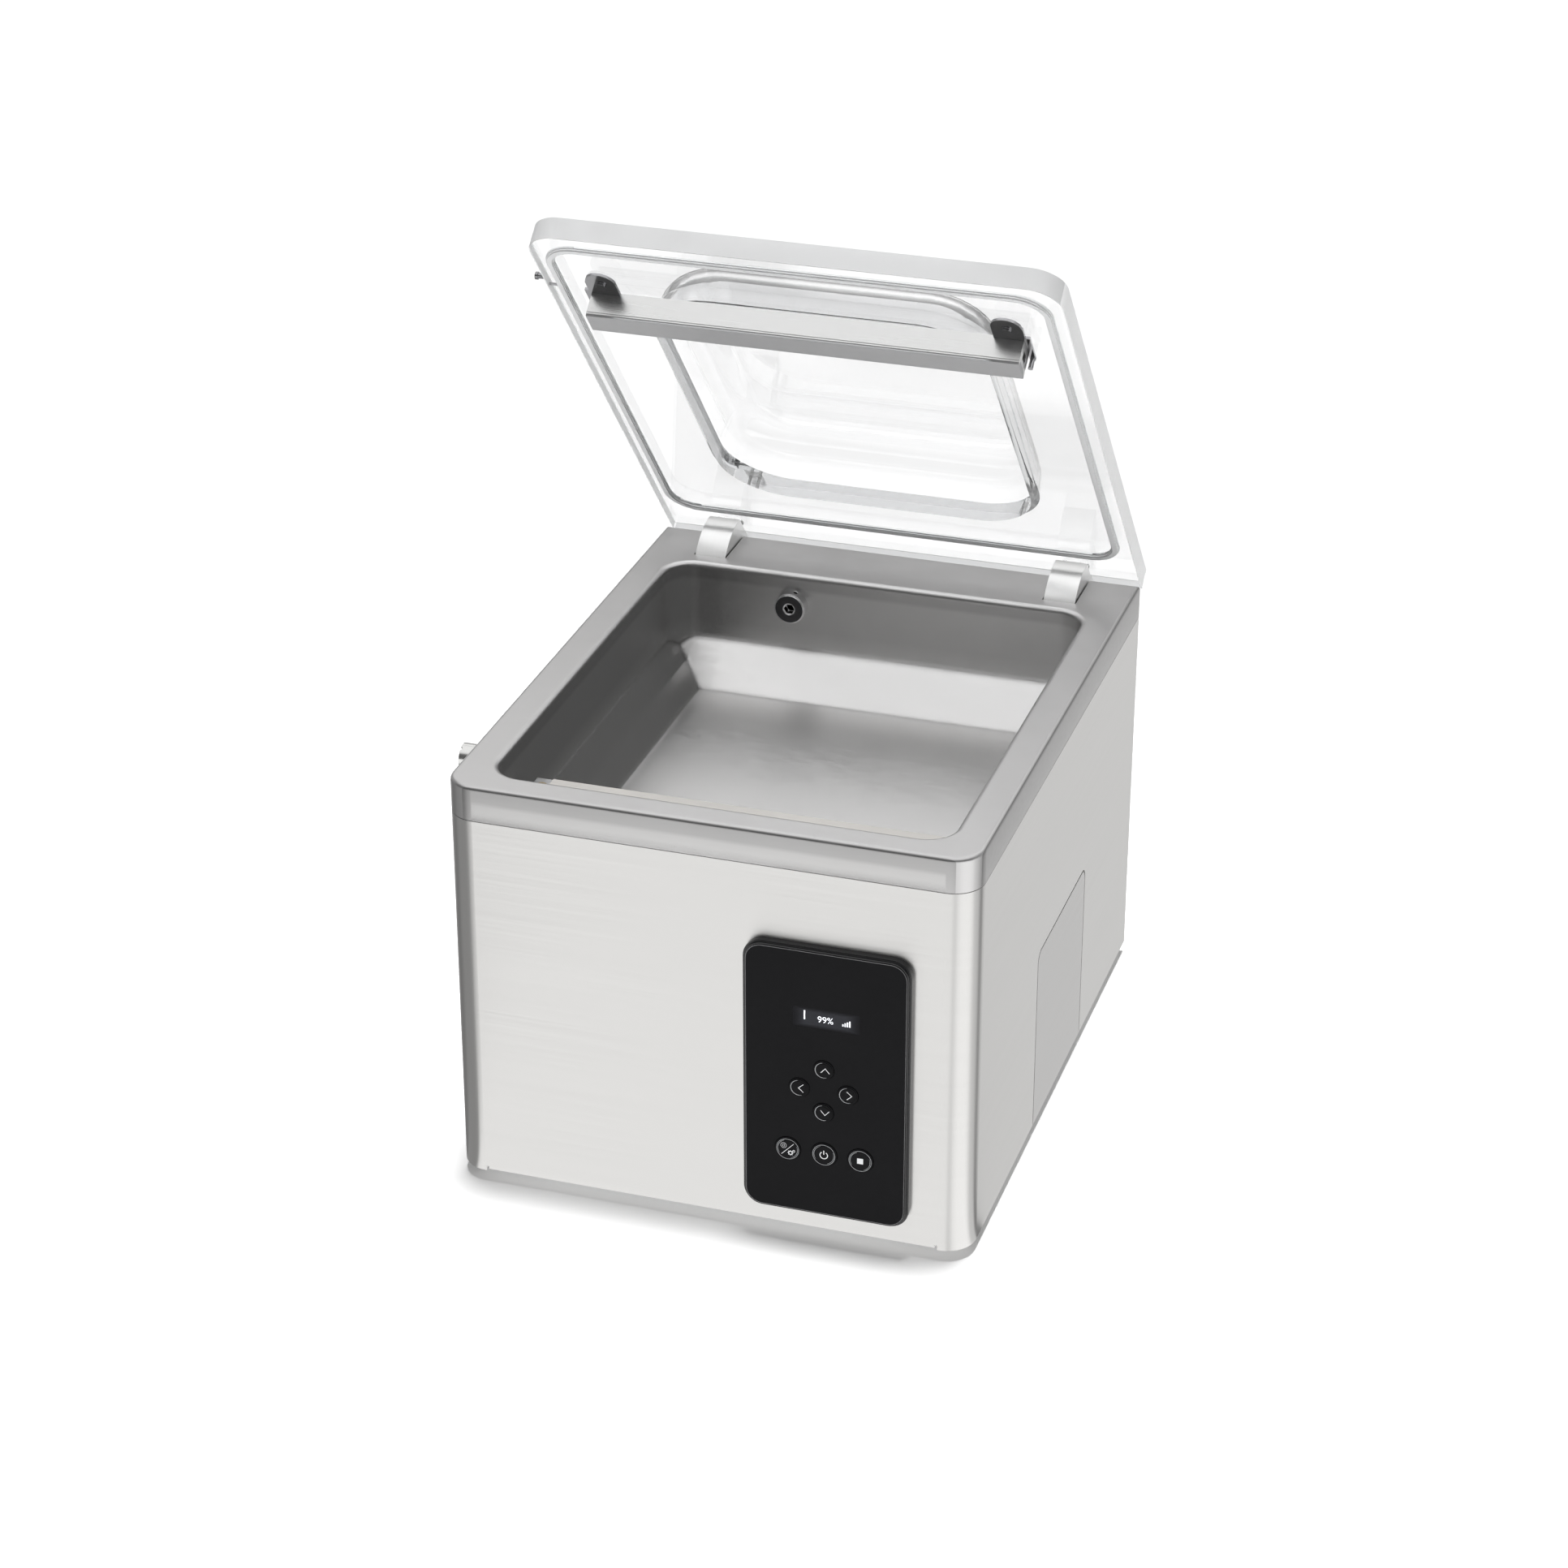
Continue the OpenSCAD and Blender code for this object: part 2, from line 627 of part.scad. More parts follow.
// turned so that the slot meets the stud after a 150 degree turn
module latch_hook() {
  reach = stud_z - latch_z;
  color([0.30, 0.30, 0.31]) translate([0, stud_y, latch_z]) rotate([-150, 0, 0]) {
    difference() {
      union() {
        rod_x(9, -187, -177, 0, 0);
        box(-182, -179, -5, 5, 0, reach);
        rod_x(8, -182, -179, 0, reach);
      }
      // open slot that follows the turn of the hook
      rod_x(2.3, -190, -170, 0, reach);
      box(-190, -170, -12, 0, reach - 4.4, reach + 2.3);
      box(-188, -186, -1, 1, -10, 10);
      rod_x(3, -178, -170, 0, 0);
    }
    rod_x(3, -177.5, -168, 0, 0);
    rod_x(5, -172, -170, 0, 0);
  }
}

// ---- seal bar -----------------------------------------------------------

module seal_bar() {
  top = seal_top - 0.5;
  color([0.66, 0.67, 0.68]) difference() {
    union() {
      box(-bar_l / 2, bar_l / 2, bar_cy - bar_w / 2 + 0.3, bar_cy + bar_w / 2 - 0.3, top - 12, top);
      box(-bar_l / 2 + 6, bar_l / 2 - 6, bar_cy - 6, bar_cy + 6, top - 20, top - 12);
    }
    for (s = [-1, 1]) rod_z(2, s * 137, bar_cy, top - 8, top + 1);
    for (s = [-1, 1]) rod_z(4, s * 137, bar_cy, top - 1.6, top + 1);
    box(-bar_l / 2 + 12, bar_l / 2 - 12, bar_cy - 20, bar_cy - 8.4, top - 9, top - 7.6);
  }
}

module heating_wire() {
  top = seal_top - 0.5;
  color([0.75, 0.62, 0.40]) {
    box(-132, 132, bar_cy - 1.5, bar_cy + 1.5, top, top + 0.2);
    for (s = [-1, 1]) {
      rod_z(2, s * 137, bar_cy, top - 8, top - 1);
      difference() {
        rod_z(4, s * 137, bar_cy, top - 1.6, top + 0.2);
        box(s * 137 - 5, s * 137 + 5, bar_cy - 0.5, bar_cy + 0.5, top - 0.6, top + 3);
      }
      box(s * 134.5 - 3, s * 134.5 + 3, bar_cy - 1.5, bar_cy + 1.5, top, top + 0.2);
    }
  }
}

module seal_tape() {
  top = seal_top - 0.5;
  color([0.62, 0.45, 0.28]) difference() {
    box(-132, 132, bar_cy - bar_w / 2, bar_cy + bar_w / 2, top - 6, seal_top);
    box(-140, 140, bar_cy - bar_w / 2 + 0.3, bar_cy + bar_w / 2 - 0.3, top - 7, top);
    box(-140, 140, bar_cy - 1.5, bar_cy + 1.5, top - 1, top + 0.2);
  }
}

module lift_pistons() {
  color([0.72, 0.73, 0.74]) for (x = [-100, 100]) {
    rod_z(5, x, bar_cy, 164, seal_top - 20.5);
    rod_z(12.95, x, bar_cy, 160, 168);
  }
}

module lift_cylinders() {
  color([0.68, 0.69, 0.70]) for (x = [-100, 100]) difference() {
    union() {
      rod_z(17, x, bar_cy, 150, floor_z - 1.5);
      rod_z(8, x, bar_cy, 190, floor_z + 4);
      rod_y(4, x, bar_cy + 10, bar_cy + 26, 158);
    }
    rod_z(13, x, bar_cy, 153, 198);
    rod_z(5.05, x, bar_cy, 190, floor_z + 10);
    rod_y(2, x, bar_cy + 5, bar_cy + 30, 158);
  }
}

// ---- vacuum line --------------------------------------------------------

module vacuum_port() {
  wall = tub_cy + tub_y;
  color([0.32, 0.32, 0.33]) difference() {
    union() {
      rod_y(11.2, port_x, wall - 7.6, wall, port_z);
      rod_y(10.3, port_x, wall - 8.6, wall, port_z);
      rod_y(6.5, port_x, wall, wall + 13, port_z);
    }
    rod_y(4.3, port_x, wall - 10, wall - 8, port_z);
    translate([port_x, wall - 3, port_z]) rotate([90, 0, 0]) cylinder(r = 3.9, h = 8, $fn = 6);
    rod_y(3, port_x, wall - 4, wall + 14, port_z);
    rod_z(1.6, port_x + 3, wall - 2.6, port_z + 4, port_z + 12);
  }
}

module port_elbow() {
  wall = tub_cy + tub_y + 1.5;
  color([0.72, 0.58, 0.34]) difference() {
    union() {
      translate([port_x, wall + 5, port_z]) rotate([90, 0, 0]) cylinder(r = 11.5, h = 5, $fn = 6);
      rod_y(9.5, port_x, wall + 4, 186, port_z);
      rod_z(7, port_x, 177, 238, port_z);
    }
    rod_y(6.5, port_x, wall - 1, wall + 11.5, port_z);
    rod_y(4, port_x, wall, 181, port_z);
    rod_z(4, port_x, 177, 230, port_z);
  }
}

module valve_block() {
  color([0.70, 0.71, 0.73]) difference() {
    union() {
      box(-92, -34, 162, back_y, 172, 208);
      rod_z(7, port_x, 177, 208, 224);
      rod_x(7, -34, -14, 186, 188);
      for (x = [-79, -47]) {
        rod_z(12, x, 190, 138, 172);
        rod_z(5, x, 190, 133, 138);
      }
    }
    rod_z(4, port_x, 177, 190, 230);
    rod_x(4, port_x, 0, 186, 188);
    rod_y(4, port_x, 170, 190, 188);
  }
}

module bend(r, ro, ri) {
  rotate_extrude(angle = 90) translate([r, 0]) difference() { circle(ro); circle(ri); }
}

module vacuum_hoses() {
  color([0.20, 0.20, 0.21]) {
    tube_z(9.5, 7, port_x, 177, 209, 252);
    difference() { rod_x(9.5, -27, 47, 186, 188); rod_x(7, -28, 48, 186, 188); }
    translate([47, 161, 188]) bend(25, 9.5, 7);
    difference() { rod_y(9.5, 72, 40, 161, 188); rod_y(7, 72, 39, 162, 188); }
    translate([72, 40, 163]) rotate([0, -90, 0]) rotate([0, 0, -90]) bend(25, 9.5, 7);
    tube_z(9.5, 7, 72, 15, 128, 163);
  }
}

// ---- pump and motor -----------------------------------------------------

module at_mounts() { for (p = MOUNTS) translate([p[0], p[1], 0]) children(); }

module pump_skid() {
  color([0.25, 0.26, 0.27]) difference() {
    box(-84, 160, -47, 77, 18, 21);
    at_mounts() rod_z(2.5, 0, 0, 10, 30);
  }
}

module pump_mounts() {
  color([0.12, 0.12, 0.12]) at_mounts() {
    rod_z(9, 0, 0, inside_z, 18);
    rod_z(2.5, 0, 0, base_z, 24);
    translate([0, 0, 21]) cylinder(r = 4.6, h = 3, $fn = 6);
  }
}

module pump_tank() {
  color([0.55, 0.57, 0.60]) difference() {
    union() {
      box(98, 160, -45, 61, 21, 134);
      for (z = [44, 66, 88, 110]) box(98, 160, -48, -45, z, z + 4);
      rod_x(18, 160, 162, pump_y, 74);
    }
    box(97, 155, -40, 56, 26, 129);
    rod_x(12, 150, 170, pump_y, 74);
    rod_x(6, 150, 170, pump_y, 36);
    rod_z(7, 128, -25, 120, 140);
    rod_z(7, 128, 40, 120, 140);
  }
}

module oil_sight_glass() {
  color([0.85, 0.80, 0.55, 0.6]) {
    rod_x(12, 156, 161, pump_y, 74);
    difference() { rod_x(16, 162, 165, pump_y, 74); rod_x(11, 161, 166, pump_y, 74); }
    difference() { rod_x(12, 160.5, 163, pump_y, 74); rod_x(11, 160, 164, pump_y, 74); }
  }
}

module oil_plugs() {
  color([0.72, 0.58, 0.34]) {
    rod_z(7, 128, -25, 124, 134);
    translate([128, -25, 134]) cylinder(r = 10, h = 7, $fn = 6);
    rod_x(6, 150, 160, pump_y, 36);
    translate([160, pump_y, 36]) rotate([0, 90, 0]) cylinder(r = 8.5, h = 6, $fn = 6);
  }
}

module exhaust_filter() {
  color([0.30, 0.31, 0.33]) difference() {
    union() {
      rod_y(23, 128, -2, 72, 162);
      rod_y(25, 128, 66, 70, 162);
      rod_z(7, 128, 40, 124, 150);
      rod_z(11, 128, 40, 134, 150);
    }
    rod_y(19, 128, 2, 64, 162);
    rod_y(8, 128, 60, 80, 162);
    rod_z(4, 128, 40, 120, 150);
  }
}

module pump_stator() {
  cz = pump_z - 5.95;
  color([0.50, 0.52, 0.55]) difference() {
    union() {
      rod_x(46, 34, 92, pump_y, cz);
      box(92, 98, -45, 61, 21, 134);
      box(44, 92, -20, 50, 21, 40);
      rod_z(7, 72, pump_y, 100, 148);
      rod_z(11, 72, pump_y, 100, 120);
    }
    rod_x(36, 40, 92, pump_y, cz);
    rod_x(8.05, 20, 96, pump_y, pump_z);
    rod_z(4, 72, pump_y, 90, 150);
  }
}

module pump_rotor() {
  color([0.62, 0.63, 0.65]) {
    difference() {
      rod_x(30, 40.1, 91.9, pump_y, pump_z);
      box(39, 93, pump_y - 2, pump_y + 2, pump_z + 12, pump_z + 31);
      box(39, 93, pump_y - 2, pump_y + 2, pump_z - 31, pump_z - 12);
    }
    for (s = [-1, 1]) box(40.3, 91.7, pump_y - 2, pump_y + 2,
      pump_z + s * 20.9 - 8.9, pump_z + s * 20.9 + 8.9);
    rod_x(8, -74, 95.6, pump_y, pump_z);
    rod_x(30, -44, 4, pump_y, pump_z);
    rod_x(14, -78, -66, pump_y, pump_z);
    for (a = [0 : 45 : 315]) translate([0, pump_y, pump_z]) rotate([a, 0, 0])
      box(-77, -67, -1, 1, 10, 42);
  }
}

module motor_frame() {
  color([0.22, 0.23, 0.25]) difference() {
    union() {
      rod_x(50, -60, 34, pump_y, pump_z);
      difference() {
        rod_x(50, -84, -59, pump_y, pump_z);
        rod_x(47, -82, -50, pump_y, pump_z);
        for (a = [0 : 30 : 330]) translate([0, pump_y, pump_z]) rotate([a, 0, 0])
          box(-90, -80, -4, 4, 18, 42);
      }
      box(-54, 24, -29, 59, 21, 40);
      for (a = [20 : 20 : 160]) translate([0, pump_y, pump_z]) rotate([a - 90, 0, 0])
        box(-54, 24, -1.5, 1.5, 48, 54);
      box(-40, 0, 55, 75, 60, 96);
    }
    rod_x(31, -50, 22, pump_y, pump_z);
    rod_x(8.05, -70, 40, pump_y, pump_z);
  }
}

// ---- electrics ----------------------------------------------------------

module transformer() {
  color([0.35, 0.36, 0.38]) translate([-120, -120, inside_z]) difference() {
    union() {
      box(-33, 33, -12, 12, 0, 62);
      box(-18, 18, -23, 23, 12, 50);
      box(-40, 40, -14, 14, 0, 3);
    }
    for (x = [-25.5, 19.5]) box(x - 1, x + 6, -13, 13, 12, 50);
    for (x = [-36.5, 36.5]) rod_z(2, x, 0, -1, 5);
  }
}

module power_board() {
  color([0.08, 0.30, 0.16]) {
    box(-168, -166.4, -60, 80, 30, 150);
    for (y = [-54, 74], z = [36, 144]) rod_x(3, -hx + sheet, -168, y, z);
    for (y = [-40, -15]) rod_x(9, -166.4, -140, y, 60);
    box(-166.4, -150, 15, 40, 45, 75);
    box(-166.4, -148, 45, 70, 45, 75);
    box(-166.4, -162, -45, 65, 90, 94);
    for (i = [0 : 7]) box(-166.4, -146, -40 + i * 8, -37 + i * 8, 104, 138);
    box(-166.4, -158, 30, 70, 104, 138);
  }
}

module mains_inlet() {
  color([0.08, 0.08, 0.08]) translate([inlet_x, 0, inlet_z]) {
    difference() {
      union() {
        box(-14, 14, back_y - 26, hy, -12, 12);
        translate([0, 0, 0]) front_plate(hy, hy + 2.4) plate2(50, 30, 4);
      }
      front_plate(hy - 15, hy + 3) plate2(24, 17, 3);
      for (x = [-20, 20]) rod_y(1.8, x, hy - 1, hy + 3, 0);
    }
    for (x = [-7, 7]) box(x - 2, x + 2, hy - 16, hy - 2, -4, -2);
    box(-1, 1, hy - 16, hy - 1, 1, 5);
  }
}

module rocker_frame() {
  translate([inlet_x - 40, 0, inlet_z]) difference() {
    union() {
      box(-11, 11, back_y - 20, hy, -14, 14);
      front_plate(hy, hy + 2) plate2(26, 33, 2);
    }
    box(-8, 8, back_y - 18, hy + 3, -12.6, 12.6);
  }
}

module power_rocker() {
  // pressed at its lower half: off
  color([0.10, 0.10, 0.11]) translate([inlet_x - 40, 207, inlet_z]) rotate([8, 0, 0]) difference() {
    rod_x(12, -7.6, 7.6, 0, 0);
    for (s = [-1, 1]) rotate([s * 16, 0, 0]) box(-9, 9, 10.4, 20, -20, 20);
    box(-9, 9, -27, -6, -20, 20);
  }
}

module fan_frame() {
  translate([fan_x, 0, fan_z]) {
    difference() {
      front_plate(back_y - 25, back_y) plate2(80, 80, 4);
      rod_y(37, 0, back_y - 30, back_y + 5, 0);
      for (x = [-35.75, 35.75], z = [-35.75, 35.75]) rod_y(2.2, x, 150, 240, z);
    }
    rod_y(14, 0, back_y - 25, back_y - 21, 0);
    rod_y(3, 0, back_y - 25, back_y - 8, 0);
    for (a = [45 : 90 : 315]) rotate([0, a, 0]) box(-2, 2, back_y - 25, back_y - 22, 13, 38);
  }
}

module fan_guard() {
  translate([fan_x, 0, fan_z]) {
    for (r = [10, 18, 26, 34]) difference() {
      rod_y(r + 0.9, 0, hy, hy + 1.8, 0);
      rod_y(r - 0.9, 0, hy - 1, hy + 3, 0);
    }
    for (a = [45 : 90 : 315]) rotate([0, a, 0]) box(-0.9, 0.9, hy, hy + 1.8, 9, 48);
    for (x = [-35.75, 35.75], z = [-35.75, 35.75]) {
      rod_y(2.2, x, back_y - 12, hy + 1, z);
      rod_y(3.8, x, hy, hy + 2.6, z);
    }
  }
}

module fan_rotor() {
  color([0.12, 0.12, 0.13]) translate([fan_x, 0, fan_z]) difference() {
    union() {
      rod_y(14, 0, back_y - 20, back_y - 3, 0);
      for (a = [0 : 51.43 : 320]) rotate([0, a, 0]) translate([0, back_y - 11.5, 0])
        rotate([0, 0, 38]) box(-10, 10, -0.8, 0.8, 12, 35);
    }
    rod_y(3.05, 0, back_y - 30, back_y - 6, 0);
  }
}

housing();
rear_panel();
base_plate();
service_cover();
deck_tank();
rubber_feet();
feet_screws();
rear_screws();
cover_screws();
panel_bezel();
panel_overlay();
display_window();
control_board();
key_up();
key_left();
key_right();
key_down();
key_mode();
key_power();
key_stop();
lid();
lid_gasket();
hinge_arms();
hinge_shaft();
hinge_screws();
hinge_brackets();
pivot_bushes();
lid_springs();
lid_switch();
counter_bar();
counter_silicone();
bar_clips();
lid_stud();
latch_hook();
seal_bar();
heating_wire();
seal_tape();
lift_pistons();
lift_cylinders();
vacuum_port();
port_elbow();
vacuum_hoses();
valve_block();
pump_skid();
pump_mounts();
pump_tank();
oil_sight_glass();
oil_plugs();
exhaust_filter();
pump_stator();
pump_rotor();
motor_frame();
transformer();
power_board();
mains_inlet();
rocker_frame();
power_rocker();
fan_frame();
fan_guard();
fan_rotor();
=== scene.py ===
"""Looks of the tabletop chamber vacuum sealer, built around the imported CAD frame. Metres."""
import math

import bpy
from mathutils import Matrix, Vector


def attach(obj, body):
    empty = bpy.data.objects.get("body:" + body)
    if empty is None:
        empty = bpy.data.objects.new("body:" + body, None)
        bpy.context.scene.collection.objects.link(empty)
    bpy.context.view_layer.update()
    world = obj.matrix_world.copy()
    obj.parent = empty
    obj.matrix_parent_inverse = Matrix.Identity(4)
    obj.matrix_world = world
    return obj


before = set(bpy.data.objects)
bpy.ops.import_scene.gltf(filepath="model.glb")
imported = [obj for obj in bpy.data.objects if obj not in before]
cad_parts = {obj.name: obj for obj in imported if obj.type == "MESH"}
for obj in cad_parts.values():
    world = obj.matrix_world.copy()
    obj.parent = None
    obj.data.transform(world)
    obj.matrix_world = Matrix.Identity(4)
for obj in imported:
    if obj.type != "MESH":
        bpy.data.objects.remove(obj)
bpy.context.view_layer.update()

MM = 0.001

# where the camera stands, and the direction in degrees from the cabinet towards it
CAMERA_PLACE = (0.6986, -2.2318, 1.4070)
CAMERA_AZIMUTH, CAMERA_ELEVATION = 17.78, 27.03

# the line of the hinge, and how far the lid stands open at rest
HINGE_Y, HINGE_Z = 0.2055, 0.2667
OPEN_ANGLE = math.radians(48.5)

# the lid, shut: where its flat faces end, and the middle and radius of its two front corners
LID_HALF_X, LID_FRONT_Y, LID_BACK_Y = 0.1732, -0.2137, 0.2047
LID_CORNER_X, LID_CORNER_Y, LID_CORNER_R = 0.152, -0.1925, 0.0212
# half width, front and back of the dome and of the two sides of the gasket's groove
DOME_REACH = (0.125, -0.150, 0.140)
GROOVE_OUTSIDE, GROOVE_INSIDE = (0.1665, -0.2050, 0.1655), (0.1555, -0.1940, 0.1545)
# lowest and highest points of the groove, the dome's mouth and its wall
GROOVE_RISE, MOUTH_RISE, WALL_RISE = (0.2944, 0.2976), (0.2955, 0.3080), (0.3200, 0.3380)

# where the deck turns down into its band, how far the chamber reaches, and the suction boss
DECK_HALF_X, DECK_FRONT_Y = 0.1740, -0.2140
CHAMBER_HALF_X = 0.155
PORT_X, PORT_Z = -0.0617, 0.269

# fronts of the panel's film and of the keys, which stand proud of it
FACE_Y = -0.222
KEY_FACE_Y = FACE_Y - 0.9 * MM
# the panel, the display and the keys in millimetres; an arrow key also has its turn in degrees
PANEL_X, PANEL_Z, PANEL_W, PANEL_H = 81.2, 120.5, 110, 195
DISPLAY_X, DISPLAY_Z = 81.8, 168.9
ARROW_KEYS = (("up", 80.3, 132.6, 90), ("left", 64.2, 117, 180), ("right", 96.4, 117, 0),
              ("down", 80.3, 101.3, 270))
FUNCTION_KEYS = (("mode", 56.8, 70.2), ("power", 80.9, 70.2), ("stop", 105, 70.2))

# brightness of what the polished front and side mirror, the dark flags and the lit card
FRONT_LEVEL, SIDE_LEVEL, FLAG_LEVEL, CARD_LEVEL = 1.29, 0.84, 0.09, 1.22
# the sky: even light, then what shiny surfaces see, then what is seen through the lid
SKY_EVEN = 0.32
SKY_FRONT, SKY_BACK, SKY_TOP = 0.13, 0.45, 1.15
SKY_THROUGH, TOP_THROUGH = 0.55, 1.75
# how white the paper of the floor is, near and far behind
PAPER, FAR_PAPER = 0.90, 0.615


# ---- camera -----------------------------------------------------------------

def make_camera():
    azimuth, elevation = math.radians(CAMERA_AZIMUTH), math.radians(CAMERA_ELEVATION)
    back = Vector((
        math.sin(azimuth) * math.cos(elevation),
        -math.cos(azimuth) * math.cos(elevation),
        math.sin(elevation),
    ))
    data = bpy.data.cameras.new("camera")
    data.lens = 89.63
    data.sensor_width = 36
    camera = bpy.data.objects.new("camera", data)
    camera.location = CAMERA_PLACE
    camera.rotation_euler = (-back).to_track_quat("-Z", "Y").to_euler()
    bpy.context.collection.objects.link(camera)
    bpy.context.scene.camera = camera


# ---- node materials ---------------------------------------------------------

class Material:
    """A node tree round one Principled shader, with short names for what the finishes share."""

    def __init__(self, name, **values):
        self.name = name
        self.data = bpy.data.materials.new(name)
        self.data.use_nodes = True
        self.tree = self.data.node_tree
        self.tree.nodes.clear()
        self.output = self.tree.nodes.new("ShaderNodeOutputMaterial")
        self.shader = self.tree.nodes.new("ShaderNodeBsdfPrincipled")
        self.join(self.shader.outputs[0], self.output.inputs[0])
        self.place = self.add("TexCoord").outputs["Object"]
        self.set(**values)

    def add(self, kind, **settings):
        node = self.tree.nodes.new("ShaderNode" + kind)
        for key, value in settings.items():
            setattr(node, key, value)
        return node

    def join(self, source, target):
        if hasattr(source, "is_output"):
            self.tree.links.new(source, target)
        else:
            target.default_value = source

    def set(self, **values):
        for key, value in values.items():
            self.join(colour(value) if isinstance(value, tuple) and len(value) == 3 else value,
                      self.shader.inputs[key.replace("_", " ")])

    def maths(self, operation, a, b=0.0, c=None):
        node = self.add("Math", operation=operation)
        self.join(a, node.inputs[0])
        self.join(b, node.inputs[1])
        if c is not None:
            self.join(c, node.inputs[2])
        return node.outputs[0]

    def stretch(self, scale, vector=None):
        node = self.add("VectorMath", operation="MULTIPLY")
        self.join(vector or self.place, node.inputs[0])
        node.inputs[1].default_value = scale
        return node.outputs[0]

    def noise(self, vector=None, scale=1.0, detail=3.0, roughness=0.5):
        node = self.add("TexNoise")
        self.join(vector or self.place, node.inputs["Vector"])
        node.inputs["Scale"].default_value = scale
        node.inputs["Detail"].default_value = detail
        node.inputs["Roughness"].default_value = roughness
        return node.outputs[0]

    def dots(self, scale):
        """Distance from the nearest point of an even grid."""
        node = self.add("TexVoronoi")
        self.join(self.place, node.inputs["Vector"])
        node.inputs["Scale"].default_value = scale
        node.inputs["Randomness"].default_value = 0.0
        return node.outputs["Distance"]

    def span(self, value, low, high, to_low, to_high, smooth=False):
        node = self.add("MapRange", interpolation_type="SMOOTHSTEP" if smooth else "LINEAR")
        for i, v in enumerate((value, low, high, to_low, to_high)):
            self.join(v, node.inputs[i])
        return node.outputs[0]

    def window(self, value, low, high, soft):
        """1 between low and high, 0 outside."""
        return self.maths("MULTIPLY",
                          self.span(value, low - soft, low + soft, 0.0, 1.0, smooth=True),
                          self.span(value, high - soft, high + soft, 1.0, 0.0, smooth=True))

    def beyond(self, value, limit):
        """How far a value lies beyond limit, on either side of the middle."""
        return self.maths("SUBTRACT", self.maths("ABSOLUTE", value), limit)

    def distance(self, a, b):
        return self.maths("SQRT", self.maths("ADD", self.maths("MULTIPLY", a, a),
                                             self.maths("MULTIPLY", b, b)))

    def blend(self, amount, a, b):
        node = self.add("Mix", data_type="RGBA")
        self.join(amount, node.inputs["Factor"])
        self.join(colour(a) if isinstance(a, tuple) else a, node.inputs[6])
        self.join(colour(b) if isinstance(b, tuple) else b, node.inputs[7])
        return node.outputs[2]

    def axes(self, vector=None):
        node = self.add("SeparateXYZ")
        self.join(vector or self.place, node.inputs[0])
        return node.outputs

    def finish(self):
        """The colour that the surface has so far."""
        return self.shader.inputs["Base Color"].links[0].from_socket

    def grey(self, value):
        """A clear grey, a touch cool."""
        node = self.add("CombineColor")
        for i, factor in enumerate((1.0, 1.002, 1.006)):
            self.join(self.maths("MULTIPLY", value, factor), node.inputs[i])
        return node.outputs[0]

    def rounded(self, radius):
        node = self.add("Bevel", samples=4)
        node.inputs["Radius"].default_value = radius
        return node.outputs[0]

    def bump(self, height, distance, normal=None):
        node = self.add("Bump")
        node.inputs["Distance"].default_value = distance
        self.join(height, node.inputs["Height"])
        if normal is not None:
            self.join(normal, node.inputs["Normal"])
        return node.outputs[0]

    def let_through(self, amount, tint=(1.0, 1.0, 1.0)):
        """Light goes straight on, without bending, as far as amount says."""
        clear, mix = self.add("BsdfTransparent"), self.add("MixShader")
        self.join(colour(tint), clear.inputs[0])
        self.join(amount, mix.inputs[0])
        self.join(self.shader.outputs[0], mix.inputs[1])
        self.join(clear.outputs[0], mix.inputs[2])
        self.join(mix.outputs[0], self.output.inputs[0])


def colour(rgb):
    return (rgb[0], rgb[1], rgb[2], 1.0)


def shade(rgb, factor):
    return tuple(min(1.0, c * factor) for c in rgb)


def brushed(name, rgb, rough, grain, spread=0.05, depth=0.01, clouds=0.03, cloud_scale=9.0,
            edge=0.4, anisotropy=0.0):
    """Bare metal with a drawn grain: grain gives how fast the lines change along X, Y and Z."""
    m = Material(name, Metallic=1.0)
    lines = m.noise(m.stretch(grain), detail=4, roughness=0.65)
    cloud = m.noise(scale=cloud_scale, detail=3)
    tone = m.maths("MULTIPLY_ADD", lines, 0.35, m.maths("MULTIPLY", cloud, 0.65))
    m.set(Base_Color=m.blend(m.span(tone, 0.35, 0.65, 0.0, 1.0), shade(rgb, 1 - clouds),
                             shade(rgb, 1 + clouds)))
    m.set(Roughness=m.span(m.maths("ADD", lines, m.maths("MULTIPLY", cloud, 0.4)), 0.45, 0.95,
                           rough - spread, rough + spread))
    m.set(Normal=m.bump(lines, depth * MM, m.rounded(edge * MM)))
    if anisotropy:
        m.set(Anisotropic=anisotropy, Anisotropic_Rotation=0.25)
        m.set(Tangent=m.add("Tangent", direction_type="RADIAL", axis="Z").outputs[0])
    return m


def deck():
    """Satin steel, with painted shade that darkens the band round the outside, more towards its
    top, painted light in the chamber, and soft drawn corners in the chamber.
    """
    m = brushed("deck_steel", (0.565, 0.56, 0.56), 0.34, (60, 240, 420), spread=0.04,
                depth=0.004, clouds=0.03, cloud_scale=14)
    x, y, z = m.axes()
    outside = m.maths("MAXIMUM", m.beyond(x, DECK_HALF_X), m.maths("SUBTRACT", DECK_FRONT_Y, y))
    # painted shade: the band round the outside is darkened, more towards its top
    band = m.maths("MULTIPLY", m.maths("GREATER_THAN", outside, 0.0),
                   m.span(z, 0.266, 0.290, 0.20, 0.36))
    inside = m.maths("MULTIPLY", m.window(x, -CHAMBER_HALF_X, CHAMBER_HALF_X, 0.5 * MM),
                     m.span(z, 0.279, 0.282, 1.0, 0.0))
    # painted light: the chamber is lightened, the floor and the slopes, which face up, most and
    # the upright walls less
    painted_chamber_light = m.maths("MULTIPLY", inside, m.span(z, 0.238, 0.250, 0.85, 0.45))
    steel = m.blend(painted_chamber_light, m.finish(), (0.84, 0.835, 0.83))
    m.set(Base_Color=m.blend(band, steel, (0.0, 0.0, 0.0)))
    for node in m.data.node_tree.nodes:
        if node.bl_idname == "ShaderNodeBevel":
            m.join(m.span(inside, 0.0, 1.0, 0.5 * MM, 6 * MM), node.inputs["Radius"])
    return m


